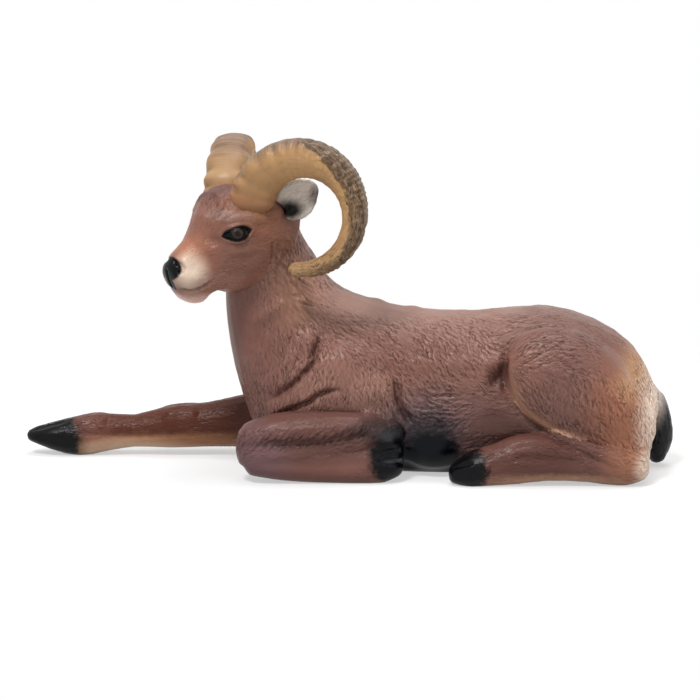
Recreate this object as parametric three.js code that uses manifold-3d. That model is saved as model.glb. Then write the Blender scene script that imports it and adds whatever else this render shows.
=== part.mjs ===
// Lying ram: a small painted plastic figurine, moulded in eleven pieces that plug together and are glued.
// Millimetres, +Z up. The ram faces -X, its left side is -Y, and it rests on the plane Z = 0.

import * as THREE from "three";
import { mergeVertices } from "three/addons/utils/BufferGeometryUtils.js";
import Module from "manifold-3d";

const wasm = await Module();
wasm.setup();

// Fit between pieces
const glueGap = 0.3; // left open between any two pieces for the glue
const pegSides = 12;

// Trunk
const backHeight = 16.2; // ground to the middle of the back
const barrelHalf = 7.5; // half the width of the barrel
const hipHalf = 8.1; // half the width across the hips
const neckHalf = 4.7; // half the width of the neck, halfway up
const neckLean = 1.2; // how far the top of the neck leans to the left, under the turned head
const belly = -0.6; // lowest point of the barrel before it is cut level with the ground
const trunkSides = 24;

// Shoulders and thighs, measured from the middle plane
const shoulderOut = 8.1; // outermost point of a shoulder
const thighOut = 10.9; // outermost point of a thigh
const muscleSides = 18;

// Legs
const forelegY = barrelHalf + 0.1; // centre line of the folded foreleg from the middle plane
const reachY = barrelHalf - 1.9; // centre line of the stretched foreleg
const reachFrom = -11.2; // where the stretched foreleg leaves the chest
const reachLength = 22.2; // from there to the toes
const hindLegY = thighOut - 2.1; // centre line of a lower hind leg
const toeCleft = 0.4; // width of the split between two toes
const legSides = 14;
const legPegRadius = 1.0;
const legPegDepth = 3.0; // length of a peg inside the torso

// Head, in its own frame: facing -X, its turning point at the top of the neck
const headPivot = new THREE.Vector3(-6.4, -0.4, backHeight + 5.4);
const headTurn = THREE.MathUtils.degToRad(32); // towards the left side
const browHalf = 4.05; // half the width across the brows
const muzzleHalf = 2.15; // half the width of the muzzle
const eyeRadius = 1.2;
const headSides = 22;
const headPegRadius = 1.8;
const headPegDepth = 3.5;

// Horns
const hornBase = new THREE.Vector3(-5.75, 1.55 - browHalf, 6.8); // middle of the left horn's root
const hornCurl = 5.6; // radius of the curl, to the middle of the horn
const hornFrom = THREE.MathUtils.degToRad(168); // where on the curl the root is
const hornSweep = THREE.MathUtils.degToRad(271);
const hornFlare = THREE.MathUtils.degToRad(51); // the curl's plane, turned out from the middle plane
const hornDrift = 0.8; // how far the tip winds outwards, off the plane of the root
const hornDrop = 0.7; // how much lower the right horn sits than the left
const hornRoot = 2.15; // half thickness at the root
const hornTip = 0.5; // half thickness at the tip
const hornKeel = 0.07; // how far the keels stand out, as a share of the half thickness
const growthRings = 22;
const ringDepth = 0.18;
const hornSides = 12;
const hornPegRadius = 1.0;
const hornPegDepth = 2.0;

// Ears
const earBase = new THREE.Vector3(-2.4, 0.45 - browHalf, 5.8); // middle of the left ear's root
const earAim = new THREE.Vector3(2.0, -2.1, 2.3).normalize();
const earLength = 3.7;
const earHalf = 1.95; // half the width of an ear
const earThick = 0.9;
const earCup = 0.7; // depth of the hollow
const earSides = 12;
const earPegRadius = 0.45;
const earPegDepth = 1.2;

// Tail
const tailHalf = 1.5;
const tailSides = 12;
const tailPegRadius = 0.7;
const tailPegDepth = 2.2;

const acrossBody = new THREE.Vector3(0, 1, 0);

// One cross-section of a loft: its highest and lowest points, half its width, the share of its height at which
// it is widest, and its squareness, where 2 is an ellipse.
function station(top, bottom, half, widest = 0.5, square = 2) {
  return {
    top: new THREE.Vector3(...top),
    bottom: new THREE.Vector3(...bottom),
    shape: new THREE.Vector3(half, widest, square),
  };
}

// A station on the middle plane, leaning from its top to its bottom.
function fan(topX, topZ, bottomX, bottomZ, half, widest, square) {
  return station([topX, 0, topZ], [bottomX, 0, bottomZ], half, widest, square);
}

// A station of the upper neck, off the middle plane by its lean. Both heights are above the back.
function neckSlice(lean, topX, topRise, bottomX, bottomRise, half) {
  const top = [topX, -lean, backHeight + topRise];
  const bottom = [bottomX, -lean, backHeight + bottomRise];
  return station(top, bottom, half, 0.5, 2.2);
}

// An upright station beside the middle plane.
function slice(x, y, high, low, half, widest, square) {
  return station([x, y, high], [x, y, low], half, widest, square);
}

function ringOf(top, bottom, half, widest, square, sides) {
  const middle = bottom.clone().lerp(top, widest);
  const ring = [];
  for (let i = 0; i < sides; i++) {
    const angle = (2 * Math.PI * i) / sides;
    const across = Math.sign(Math.cos(angle)) * Math.abs(Math.cos(angle)) ** (2 / square);
    const rise = Math.abs(Math.sin(angle)) ** (2 / square);
    const end = Math.sin(angle) > 0 ? top : bottom;
    ring.push(middle.clone().lerp(end, rise).addScaledVector(acrossBody, half * across));
  }
  return ring;
}

function centreOf(ring) {
  const sum = ring.reduce((total, point) => total.add(point), new THREE.Vector3());
  return sum.divideScalar(ring.length);
}

// Rounds the end of a loft off past its last ring, over the given length.
function dome(ring, inward, length) {
  const centre = centreOf(ring);
  const out = centre.clone().sub(inward).normalize();
  const rings = [0.45, 0.8].map((share) => {
    const angle = (share * Math.PI) / 2;
    const shift = out.clone().multiplyScalar(length * Math.sin(angle));
    return ring.map((point) => centre.clone().lerp(point, Math.cos(angle)).add(shift));
  });
  return { rings, tip: centre.addScaledVector(out, length) };
}

// A closed surface over rings of equal length, with both ends rounded off.
function skin(rings, startLength, endLength) {
  const first = dome(rings[0], centreOf(rings[1]), startLength);
  const last = dome(rings.at(-1), centreOf(rings.at(-2)), endLength);
  const rows = [...first.rings.reverse(), ...rings, ...last.rings];
  const sides = rings[0].length;
  const points = [...rows.flat(), first.tip, last.tip];
  const start = points.length - 2;
  const end = points.length - 1;
  const lastRow = (rows.length - 1) * sides;
  const faces = [];
  for (let i = 0; i < sides; i++) {
    const next = (i + 1) % sides;
    faces.push([start, next, i], [end, lastRow + i, lastRow + next]);
    for (let here = 0; here < lastRow; here += sides) {
      const there = here + sides;
      faces.push([here + i, here + next, there + next], [here + i, there + next, there + i]);
    }
  }
  const volume = faces.reduce((sum, [a, b, c]) => {
    return sum + points[a].dot(points[b].clone().cross(points[c]));
  }, 0);
  const facing = volume > 0 ? faces : faces.map(([a, b, c]) => [a, c, b]);
  const geometry = new THREE.BufferGeometry();
  geometry.setAttribute("position", new THREE.Float32BufferAttribute(points.flatMap((p) => p.toArray()), 3));
  geometry.setIndex(facing.flat());
  return geometry;
}

// A smooth loft through stations. Grow makes it larger all round, for the seat that another piece is cut to.
function loft(stations, { sides, steps = 2, caps, grow = 0 }) {
  const tops = new THREE.CatmullRomCurve3(stations.map((s) => s.top));
  const bottoms = new THREE.CatmullRomCurve3(stations.map((s) => s.bottom));
  const shapes = new THREE.CatmullRomCurve3(stations.map((s) => s.shape));
  const count = (stations.length - 1) * steps;
  const rings = [];
  for (let i = 0; i <= count; i++) {
    const top = tops.getPoint(i / count);
    const bottom = bottoms.getPoint(i / count);
    const shape = shapes.getPoint(i / count);
    const lift = top.clone().sub(bottom).setLength(grow);
    rings.push(ringOf(top.add(lift), bottom.sub(lift), shape.x + grow, shape.y, shape.z, sides));
  }
  return skin(rings, caps[0] + grow, caps[1] + grow);
}

function solid(geometry) {
  const vertProperties = geometry.attributes.position.array;
  const triVerts = new Uint32Array(geometry.index.array);
  return new wasm.Manifold(new wasm.Mesh({ numProp: 3, vertProperties, triVerts }));
}

function united(geometries) {
  return geometries.map(solid).reduce((sum, next) => sum.add(next));
}

// A primitive's points alone, each shared by the faces that meet there.
function bare(primitive) {
  primitive.deleteAttribute("normal");
  primitive.deleteAttribute("uv");
  return mergeVertices(primitive);
}

function mirrored(geometry) {
  const points = geometry.attributes.position.array.map((value, i) => (i % 3 === 1 ? -value : value));
  const turned = new THREE.BufferGeometry();
  turned.setAttribute("position", new THREE.BufferAttribute(points, 3));
  const index = Array.from(geometry.index.array);
  turned.setIndex(index.map((value, i) => index[i - (i % 3) + [0, 2, 1][i % 3]]));
  return turned;
}

// A round peg that starts inside its own piece and runs towards a point in the other. Its socket is the same
// peg, wider and longer by the glue gap.
function peg(from, towards, length, radius, grow = 0) {
  const aim = towards.clone().sub(from).normalize();
  const cylinder = new THREE.CylinderGeometry(radius + grow, radius + grow, length + grow, pegSides);
  cylinder.translate(0, (length + grow) / 2, 0);
  cylinder.applyQuaternion(new THREE.Quaternion().setFromUnitVectors(acrossBody, aim));
  cylinder.translate(from.x, from.y, from.z);
  return bare(cylinder);
}

function box(x, y, z, width, depth, height) {
  const block = new THREE.BoxGeometry(width, depth, height);
  block.translate(x, y, z);
  return solid(bare(block));
}

const ground = box(0, 0, -5, 100, 60, 10);

// Trunk and neck, from the rump forwards and up
const trunkStations = [
  fan(30.6, 9.5, 30.4, 3.2, hipHalf - 3.6, 0.5, 2.3),
  fan(28.8, 12.5, 28.8, 0.8, hipHalf - 1.6, 0.5, 2.4),
  fan(25.1, 15.0, 25.2, belly, hipHalf, 0.5, 2.5),
  fan(20.2, backHeight + 0.2, 20.2, belly, hipHalf, 0.5, 2.5),
  fan(12.8, backHeight - 0.2, 12.8, belly, barrelHalf, 0.46, 2.2),
  fan(6.0, backHeight + 0.2, 6.0, belly, barrelHalf, 0.46),
  fan(1.8, backHeight + 1.2, -1.5, 0.2, barrelHalf - 0.4),
  fan(-1.0, backHeight + 2.3, -8.6, 2.6, barrelHalf - 1.0),
  fan(-2.8, backHeight + 3.9, -11.1, 8.0, neckHalf + 0.9),
  fan(-3.9, backHeight + 6.0, -12.2, backHeight - 3.4, neckHalf + 0.1, 0.5, 2.1),
  neckSlice(0.5 * neckLean, -5.3, 8.7, -12.6, 0.6, neckHalf - 0.5),
  neckSlice(neckLean, -6.5, 10.4, -12.6, 3.2, neckHalf - 1.2),
];

// Left shoulder, from the point of the shoulder back
const shoulderStations = [
  slice(-8.0, 3.7 - shoulderOut, 9.2, 5.4, 1.2),
  slice(-5.2, 3.3 - shoulderOut, 12.4, 4.9, 2.7),
  slice(-1.0, 3.0 - shoulderOut, 14.2, 4.7, 3.0),
  slice(3.0, 3.1 - shoulderOut, 13.3, 4.9, 2.8),
  slice(6.4, 3.3 - shoulderOut, 10.8, 5.9, 1.9),
];

// Left thigh, from the stifle back to the hock
const thighStations = [
  slice(16.3, 3.4 - thighOut, 13.0, 9.6, 1.4),
  slice(17.4, 4.0 - thighOut, 14.6, 7.5, 3.0),
  slice(19.6, 4.4 - thighOut, 15.3, 5.5, 4.2, 0.46),
  slice(23.0, 4.8 - thighOut, 15.0, 3.8, 4.8, 0.4, 2.3),
  slice(26.4, 4.8 - thighOut, 12.9, 2.4, 4.8, 0.38, 2.4),
  slice(28.8, 4.9 - thighOut, 9.5, 1.9, 4.0, 0.42, 2.4),
  slice(30.0, 4.8 - thighOut, 7.4, 3.0, 2.8, 0.5, 2.3),
];

function torsoSolid(grow) {
  const trunk = loft(trunkStations, { sides: trunkSides, caps: [0.7, 0.8], grow });
  const shoulder = loft(shoulderStations, { sides: muscleSides, caps: [0.6, 0.8], grow });
  const thigh = loft(thighStations, { sides: muscleSides, caps: [0.6, 0.6], grow });
  return united([trunk, shoulder, mirrored(shoulder), thigh, mirrored(thigh)]);
}

const torsoSeat = torsoSolid(glueGap);
let torso = torsoSolid(0).subtract(ground);

// Left foreleg: the forearm runs forward to the knee, the cannon runs back to the hoof
const forearm = loft(
  [
    slice(5.0, 1.4 - forelegY, 6.4, 3.8, 1.8),
    slice(1.0, 0.3 - forelegY, 7.1, 3.2, 2.5),
    slice(-4.0, -forelegY, 7.2, 2.9, 2.5),
    slice(-8.3, -forelegY, 6.7, 2.2, 2.4),
    slice(-10.6, -forelegY, 5.8, 1.6, 2.0),
  ],
  { sides: legSides, caps: [0.8, 0.9] },
);
const cannon = loft(
  [
    slice(-10.1, -forelegY, 4.4, 0.8, 2.1),
    slice(-7.0, -forelegY, 3.7, 0.3, 2.1),
    slice(-2.0, -forelegY, 3.5, 0.0, 1.8),
    slice(1.4, -forelegY, 4.1, -0.1, 1.9),
    slice(3.2, -forelegY, 4.9, 0.0, 1.8),
    slice(4.8, -forelegY, 4.1, 0.7, 1.3),
  ],
  { sides: legSides, caps: [0.7, 0.5] },
);
const foldedCleft = box(4.9, -forelegY, 2.4, 5.0, 6.0, toeCleft);
const foldedPegFrom = new THREE.Vector3(-3.0, -forelegY, 4.8);
const foldedPegTo = new THREE.Vector3(-3.0, 0, 5.4);
const foldedPegLength = forelegY - barrelHalf + 1.6 + legPegDepth;
const foldedPegAt = (grow) => peg(foldedPegFrom, foldedPegTo, foldedPegLength, legPegRadius, grow);
const leftForeleg = united([forearm, cannon])
  .subtract(foldedCleft)
  .subtract(torsoSeat)
  .subtract(ground)
  .add(solid(foldedPegAt(0)));
torso = torso.subtract(solid(foldedPegAt(glueGap)));

// Right foreleg, stretched forward from the chest
const reachAt = (share) => reachFrom - reachLength * share;
const reach = loft(
  [
    slice(-2.0, reachY - 2.4, 6.6, 1.6, 2.4),
    slice(-7.0, reachY - 1.0, 7.0, 0.9, 2.7),
    slice(reachFrom, reachY - 0.1, 6.2, 0.9, 2.4),
    slice(reachAt(0.18), reachY, 5.3, 0.9, 2.1),
    slice(reachAt(0.35), reachY, 5.0, 0.8, 2.1),
    slice(reachAt(0.52), reachY, 4.0, 0.9, 1.6),
    slice(reachAt(0.68), reachY, 4.2, 0.3, 1.8),
    slice(reachAt(0.78), reachY, 3.9, -0.1, 1.9),
    slice(reachAt(0.91), reachY, 3.2, 0.6, 1.7),
    slice(reachAt(1), reachY, 2.6, 1.4, 1.0),
  ],
  { sides: legSides, caps: [0.5, 0.5] },
);
const reachCleft = box(reachAt(1), reachY, 3.6, 5.0, toeCleft, 4.0);
const reachPegFrom = new THREE.Vector3(-10.5, reachY, 3.6);
const reachPegTo = new THREE.Vector3(-3.0, reachY - 1.9, 4.6);
const reachPegLength = 3.4 + legPegDepth;
const reachPegAt = (grow) => peg(reachPegFrom, reachPegTo, reachPegLength, legPegRadius, grow);
const rightForeleg = solid(reach)
  .subtract(reachCleft)
  .subtract(torsoSeat)
  .subtract(ground)
  .add(solid(reachPegAt(0)));
torso = torso.subtract(solid(reachPegAt(glueGap)));

// Left hind leg below the thigh: hock at the back, hoof in front
const hindLeg = loft(
  [
    slice(29.3, -hindLegY, 4.4, 0.6, 1.9),
    slice(27.4, -hindLegY, 5.0, 0.0, 2.2),
    slice(23.6, -hindLegY, 4.9, 0.4, 2.0),
    slice(19.6, -hindLegY, 5.1, 0.5, 2.0),
    slice(16.8, -hindLegY, 4.9, 0.2, 2.0),
    slice(14.2, -hindLegY, 3.9, 0.0, 1.9),
    slice(12.0, -hindLegY, 3.2, -0.2, 1.9),
    slice(10.5, -hindLegY, 2.1, 0.2, 1.3),
  ],
  { sides: legSides, caps: [0.6, 0.6] },
);
const hindCleft = box(10.2, -hindLegY, 2.4, 3.6, toeCleft, 3.4);
const hindPegFrom = new THREE.Vector3(26.0, -hindLegY + 0.6, 1.6);
const hindPegTo = new THREE.Vector3(26.0, -hindLegY + 1.4, 8.0);
const hindPegLength = 2.0 + legPegDepth;
const hindPegAt = (grow) => peg(hindPegFrom, hindPegTo, hindPegLength, legPegRadius, grow);
const leftHindLeg = solid(hindLeg)
  .subtract(hindCleft)
  .subtract(torsoSeat)
  .subtract(ground)
  .add(solid(hindPegAt(0)));
torso = torso.subtract(solid(hindPegAt(glueGap))).subtract(solid(mirrored(hindPegAt(glueGap))));

// Tail, from its root down
const tailLoft = loft(
  [
    fan(31.0, 8.9, 29.2, 8.3, tailHalf - 0.7),
    fan(32.1, 7.4, 30.0, 7.0, tailHalf - 0.3),
    fan(32.9, 5.1, 30.4, 4.8, tailHalf),
    fan(33.1, 2.7, 30.6, 2.3, tailHalf - 0.1),
    fan(32.4, 0.9, 31.0, 0.7, tailHalf - 0.6),
  ],
  { sides: tailSides, caps: [0.4, 0.4] },
);
const tailPegFrom = new THREE.Vector3(31.6, 0, 7.0);
const tailPegTo = new THREE.Vector3(27.0, 0, 7.2);
const tailPegLength = 1.2 + tailPegDepth;
const tailPegAt = (grow) => peg(tailPegFrom, tailPegTo, tailPegLength, tailPegRadius, grow);
const tail = solid(tailLoft).subtract(torsoSeat).add(solid(tailPegAt(0)));
torso = torso.subtract(solid(tailPegAt(glueGap)));

// Head group: from here to the ears, every point is in the head's own frame
const headGroup = new THREE.Group();
headGroup.position.copy(headPivot);
headGroup.rotation.z = headTurn;
headGroup.updateMatrix();
const intoHead = headGroup.matrix.clone().invert();

const headStations = [
  fan(0.4, 6.4, -2.4, -1.4, browHalf - 0.8),
  fan(-3.2, 7.6, -4.6, -2.5, browHalf, 0.54),
  fan(-6.8, 8.0, -6.8, -2.8, browHalf, 0.62),
  fan(-9.0, 7.4, -8.4, -2.8, browHalf - 0.45, 0.61),
  fan(-10.3, 5.2, -9.7, -3.3, muzzleHalf + 0.65, 0.52),
  fan(-11.6, 2.9, -11.0, -3.5, muzzleHalf + 0.15, 0.45),
  fan(-13.0, 1.6, -12.2, -3.1, muzzleHalf, 0.45),
  fan(-13.8, 0.6, -13.0, -2.1, muzzleHalf - 0.5),
];
const eye = new THREE.Vector3(-7.9, browHalf - 0.85, 3.6);

function headSolid(grow) {
  const skull = solid(loft(headStations, { sides: headSides, caps: [0.6, 0.4], grow }));
  const ball = bare(new THREE.SphereGeometry(eyeRadius + grow, 14, 8).translate(eye.x, eye.y, eye.z));
  return skull.add(solid(ball)).add(solid(mirrored(ball)));
}

const headSeat = headSolid(glueGap);
const headPegFrom = new THREE.Vector3(-5.0, 0, 1.6);
const headPegTo = new THREE.Vector3(1.0, 0, -6.0);
const headPegLength = 5.0 + headPegDepth;
const headPegAt = (grow) => peg(headPegFrom, headPegTo, headPegLength, headPegRadius, grow);
torso = torso.subtract(solid(headPegAt(glueGap).applyMatrix4(headGroup.matrix)));
const neckSeat = torsoSeat.transform(intoHead.toArray());
let head = headSolid(0).subtract(neckSeat).add(solid(headPegAt(0)));

// Left horn: a tapering curl with growth rings, wound outwards from its root
const hornBack = new THREE.Vector3(Math.cos(hornFlare), -Math.sin(hornFlare), 0);
const hornOut = new THREE.Vector3(-Math.sin(hornFlare), -Math.cos(hornFlare), 0);
const hornUp = new THREE.Vector3(0, 0, 1);
const hornCentre = hornBase
  .clone()
  .addScaledVector(hornBack, -hornCurl * Math.cos(hornFrom))
  .addScaledVector(hornUp, -hornCurl * Math.sin(hornFrom));

// The section is a blunt triangle: a flat face on the outside of the curl, between two keels, and one inner keel.
function hornRing(share, half) {
  const angle = hornFrom - hornSweep * share;
  const spoke = hornBack.clone().multiplyScalar(Math.cos(angle)).addScaledVector(hornUp, Math.sin(angle));
  const centre = hornCentre.clone().addScaledVector(spoke, hornCurl);
  centre.addScaledVector(hornOut, hornDrift * share ** 2);
  const ring = [];
  for (let i = 0; i < hornSides; i++) {
    const turn = (2 * Math.PI * i) / hornSides;
    const reachOut = half * (1 - hornKeel * Math.cos(3 * turn));
    const point = centre.clone().addScaledVector(spoke, reachOut * Math.cos(turn));
    ring.push(point.addScaledVector(hornOut, reachOut * Math.sin(turn)));
  }
  return ring;
}

function hornSolid(grow) {
  const rings = [];
  for (let i = 0; i <= 2 * growthRings; i++) {
    const share = i / (2 * growthRings);
    const groove = i % 2 === 1 ? ringDepth * (1 - 0.7 * share) : 0;
    rings.push(hornRing(share, THREE.MathUtils.lerp(hornRoot, hornTip, share ** 1.45) - groove + grow));
  }
  return solid(skin(rings, 1.2 + grow, 0.7 + grow));
}

const hornPegFrom = centreOf(hornRing(0.06, hornRoot));
const hornPegTo = centreOf(hornRing(0, hornRoot));
const hornPegAt = (grow) => peg(hornPegFrom, hornPegTo, 2.0 + hornPegDepth, hornPegRadius, grow);

// A left horn with its root lowered. The right horn is the mirror image of one.
function seatedHorn(drop) {
  const curl = hornSolid(0).translate(0, 0, -drop).subtract(headSeat);
  return curl.add(solid(hornPegAt(0)).translate(0, 0, -drop));
}

head = head
  .subtract(solid(hornPegAt(glueGap)))
  .subtract(solid(mirrored(hornPegAt(glueGap))).translate(0, 0, -hornDrop));

// Left ear: a cupped leaf that opens outwards
const earFace = hornOut.clone().addScaledVector(earAim, -hornOut.dot(earAim)).normalize();
const earAcross = earAim.clone().cross(earFace);

function earRing(share) {
  const half = earHalf * Math.sin(Math.PI * (0.25 + 0.68 * share)) ** 0.8;
  const centre = earBase.clone().addScaledVector(earAim, earLength * share);
  const ring = [];
  for (let i = 0; i < earSides; i++) {
    const turn = (2 * Math.PI * i) / earSides;
    const bend = earCup * Math.sin(turn) ** 2;
    const side = 0.5 * earThick * Math.sign(Math.sin(turn)) * Math.abs(Math.sin(turn)) ** 0.6;
    const point = centre.clone().addScaledVector(earAcross, half * Math.cos(turn));
    ring.push(point.addScaledVector(earFace, side - bend));
  }
  return ring;
}

const earLoft = skin([-0.3, 0, 0.25, 0.5, 0.75, 0.93].map(earRing), 0.2, 0.3);
const earPegFrom = earBase.clone().addScaledVector(earAim, 0.3).addScaledVector(earFace, -earCup);
const earPegTo = earPegFrom.clone().sub(earAim);
const earPegAt = (grow) => peg(earPegFrom, earPegTo, 1.0 + earPegDepth, earPegRadius, grow);
const leftEar = solid(earLoft).subtract(headSeat).subtract(hornSolid(glueGap)).add(solid(earPegAt(0)));
head = head.subtract(solid(earPegAt(glueGap))).subtract(solid(mirrored(earPegAt(glueGap))));

function piece(name, body, colour, roughness) {
  const { vertProperties, triVerts } = body.getMesh();
  const geometry = new THREE.BufferGeometry();
  geometry.setAttribute("position", new THREE.BufferAttribute(new Float32Array(vertProperties), 3));
  geometry.setIndex(Array.from(triVerts));
  geometry.computeVertexNormals();
  const mesh = new THREE.Mesh(geometry, new THREE.MeshStandardMaterial({ color: colour, roughness, metalness: 0 }));
  mesh.name = name;
  return mesh;
}

function mirrorPiece(name, original) {
  const mesh = new THREE.Mesh(original.geometry, original.material.clone());
  mesh.name = name;
  mesh.scale.set(1, -1, 1);
  return mesh;
}

const coat = 0x825c52;
const hornTan = 0xb0885a;
const earPale = 0xcfc6bd;
const tailBlack = 0x221d20;

const leftEarPiece = piece("left_ear", leftEar, earPale, 0.5);
headGroup.add(
  piece("head", head, coat, 0.45),
  piece("left_horn", seatedHorn(0), hornTan, 0.45),
  mirrorPiece("right_horn", piece("right_horn", seatedHorn(hornDrop), hornTan, 0.45)),
  leftEarPiece,
  mirrorPiece("right_ear", leftEarPiece),
);

const leftHindPiece = piece("left_hind_leg", leftHindLeg, coat, 0.45);
const ram = new THREE.Group();
ram.add(
  piece("torso", torso, coat, 0.45),
  headGroup,
  piece("left_foreleg", leftForeleg, coat, 0.45),
  piece("right_foreleg", rightForeleg, coat, 0.45),
  leftHindPiece,
  mirrorPiece("right_hind_leg", leftHindPiece),
  piece("tail", tail, tailBlack, 0.4),
);

// The middle of the figure's length and width stands over the origin.
const middle = new THREE.Box3().setFromObject(ram, true).getCenter(new THREE.Vector3());
ram.position.set(-middle.x, -middle.y, 0);

export default ram;
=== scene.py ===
import math

import bmesh
import bpy
import numpy as np
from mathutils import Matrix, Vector, kdtree, noise
from mathutils.bvhtree import BVHTree


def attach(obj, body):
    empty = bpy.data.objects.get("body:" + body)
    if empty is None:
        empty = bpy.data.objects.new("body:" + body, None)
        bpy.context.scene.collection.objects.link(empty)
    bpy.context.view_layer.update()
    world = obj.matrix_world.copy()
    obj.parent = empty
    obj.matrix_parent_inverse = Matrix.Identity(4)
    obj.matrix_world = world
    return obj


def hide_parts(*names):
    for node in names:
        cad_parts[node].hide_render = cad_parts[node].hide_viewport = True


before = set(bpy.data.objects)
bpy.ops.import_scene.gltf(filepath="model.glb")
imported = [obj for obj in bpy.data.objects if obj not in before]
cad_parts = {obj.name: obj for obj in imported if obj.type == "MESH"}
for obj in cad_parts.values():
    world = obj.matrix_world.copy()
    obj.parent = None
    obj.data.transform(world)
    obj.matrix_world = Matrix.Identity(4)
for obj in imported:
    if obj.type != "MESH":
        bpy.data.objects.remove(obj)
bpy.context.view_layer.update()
scene = bpy.context.scene
mm = 0.001
print("frame loaded,", len(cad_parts), "moulded pieces")

# the head's own frame: forward, left and up from the top of the neck, in millimetres
headFrame = {"pivot": (-5.99, -0.4, 21.6), "turn": 32.0}
headTurn = math.radians(headFrame["turn"])
headPivot = np.array(headFrame["pivot"])
headAxes = np.array([
    (-math.cos(headTurn), -math.sin(headTurn), 0.0),
    (math.sin(headTurn), -math.cos(headTurn), 0.0),
    (0.0, 0.0, 1.0),
])


def intoHead(points):
    return (points - headPivot) @ headAxes.T


def fromHead(points):
    return np.asarray(points) @ headAxes + headPivot


def mirrored(points):
    # both sides laid over each other
    return np.stack([points[:, 0], np.abs(points[:, 1]), points[:, 2]], 1)


# where the camera stands, in millimetres, and the middle and stretch of its side view
stand = {
    "aim": (0.3, 0.0, 13.8), "away": 295.0, "tilt": 10.0,
    "middle": (0.3, 15.21), "stretch": (0.975, 0.99),
    "lens": 147.9, "sensor": 36.0, "shift": -0.0237,
}


def asSeen(points):
    # x and z as the camera sees them, true at the flank; the far side is drawn as a mirror image
    tilt = math.radians(stand["tilt"])
    off = mirrored(points) * (1, -1, 1) - np.array(stand["aim"])
    shrink = stand["away"] / (stand["away"] + off @ np.array((0, math.cos(tilt), -math.sin(tilt))))
    up = off @ np.array((0, math.sin(tilt), math.cos(tilt)))
    seen = np.stack([off[:, 0], up], 1) * shrink[:, None]
    return seen * stand["stretch"] + stand["middle"]


# sculpting: every piece is worked as an even quad mesh in millimetres


def refreshNormals(clay):
    points, quads = clay["points"], clay["quads"]
    facing = np.cross(points[quads[:, 2]] - points[quads[:, 0]], points[quads[:, 3]] - points[quads[:, 1]])
    total = np.zeros_like(points)
    for corner in range(4):
        for axis in range(3):
            total[:, axis] += np.bincount(quads[:, corner], weights=facing[:, axis], minlength=len(points))
    clay["normals"] = total / np.maximum(np.linalg.norm(total, axis=1, keepdims=True), 1e-12)


def edgesOf(ob):
    edges = np.empty(len(ob.data.edges) * 2, int)
    ob.data.edges.foreach_get("vertices", edges)
    return edges.reshape(-1, 2)


def neighbourMean(points, edges):
    a, b = edges.T
    count = np.bincount(edges.ravel(), minlength=len(points))[:, None]
    total = np.empty_like(points)
    for axis in range(3):
        total[:, axis] = np.bincount(a, weights=points[b, axis], minlength=len(points))
        total[:, axis] += np.bincount(b, weights=points[a, axis], minlength=len(points))
    return total / np.maximum(count, 1)


def relaxed(points, edges, rounds):
    # alternate steps in and out, so the facets go and the volume stays
    for turn in range(rounds):
        step = 0.5 if turn % 2 == 0 else -0.51
        points = points + (neighbourMean(points, edges) - points) * step
    return points


markNames = ("groove", "ridge", "crease", "rim", "fur", "lock")


def takeMesh(ob):
    mesh = ob.data
    points = np.empty(len(mesh.vertices) * 3)
    mesh.vertices.foreach_get("co", points)
    quads = np.empty(len(mesh.loops), int)
    mesh.loops.foreach_get("vertex_index", quads)
    clay = {"ob": ob, "points": points.reshape(-1, 3), "quads": quads.reshape(-1, 4)}
    clay["marks"] = {name: np.zeros(len(mesh.vertices)) for name in markNames}
    clay["hair"] = np.tile((0.0, 0.0, -1.0), (len(mesh.vertices), 1))
    refreshNormals(clay)
    return clay


def newObject(name, data):
    ob = bpy.data.objects.new(name, data)
    scene.collection.objects.link(ob)
    return ob


def remeshed(ob, voxel):
    ob.data.remesh_voxel_size = voxel
    bpy.context.view_layer.objects.active = ob
    bpy.ops.object.voxel_remesh()
    return takeMesh(ob)


def clayFrom(node, look):
    # a copy of the moulded solid, remeshed evenly and grown until the glue lines close
    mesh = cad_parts[node].data.copy()
    mesh.materials.clear()
    ob = newObject(node + "_sculpt", mesh)
    work = bmesh.new()
    work.from_mesh(mesh)
    bmesh.ops.scale(work, vec=(1000, 1000, 1000), verts=work.verts)
    bmesh.ops.remove_doubles(work, verts=work.verts, dist=0.002)
    work.to_mesh(mesh)
    work.free()
    coarse = remeshed(ob, look["voxel"])
    coarse["points"] = relaxed(coarse["points"], edgesOf(ob), look["rounds"])
    refreshNormals(coarse)
    points = coarse["points"] + coarse["normals"] * look["grow"]
    ob.data.vertices.foreach_set("co", points.ravel())
    ob.data.update()
    ob.modifiers.new("fine", "SUBSURF").levels = 1
    seen = ob.evaluated_get(bpy.context.evaluated_depsgraph_get())
    fine = bpy.data.meshes.new_from_object(seen)
    ob.modifiers.clear()
    ob.data = fine
    return takeMesh(ob)


# skin over the seams: how far a piece looks for it, how deep the under piece sits,
# and how nearly both have to face the same way
seamWork = {"voxel": 0.3, "reach": 1.6, "sunk": 0.04, "facingJoined": 0.15, "facingAlone": -0.6}


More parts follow.
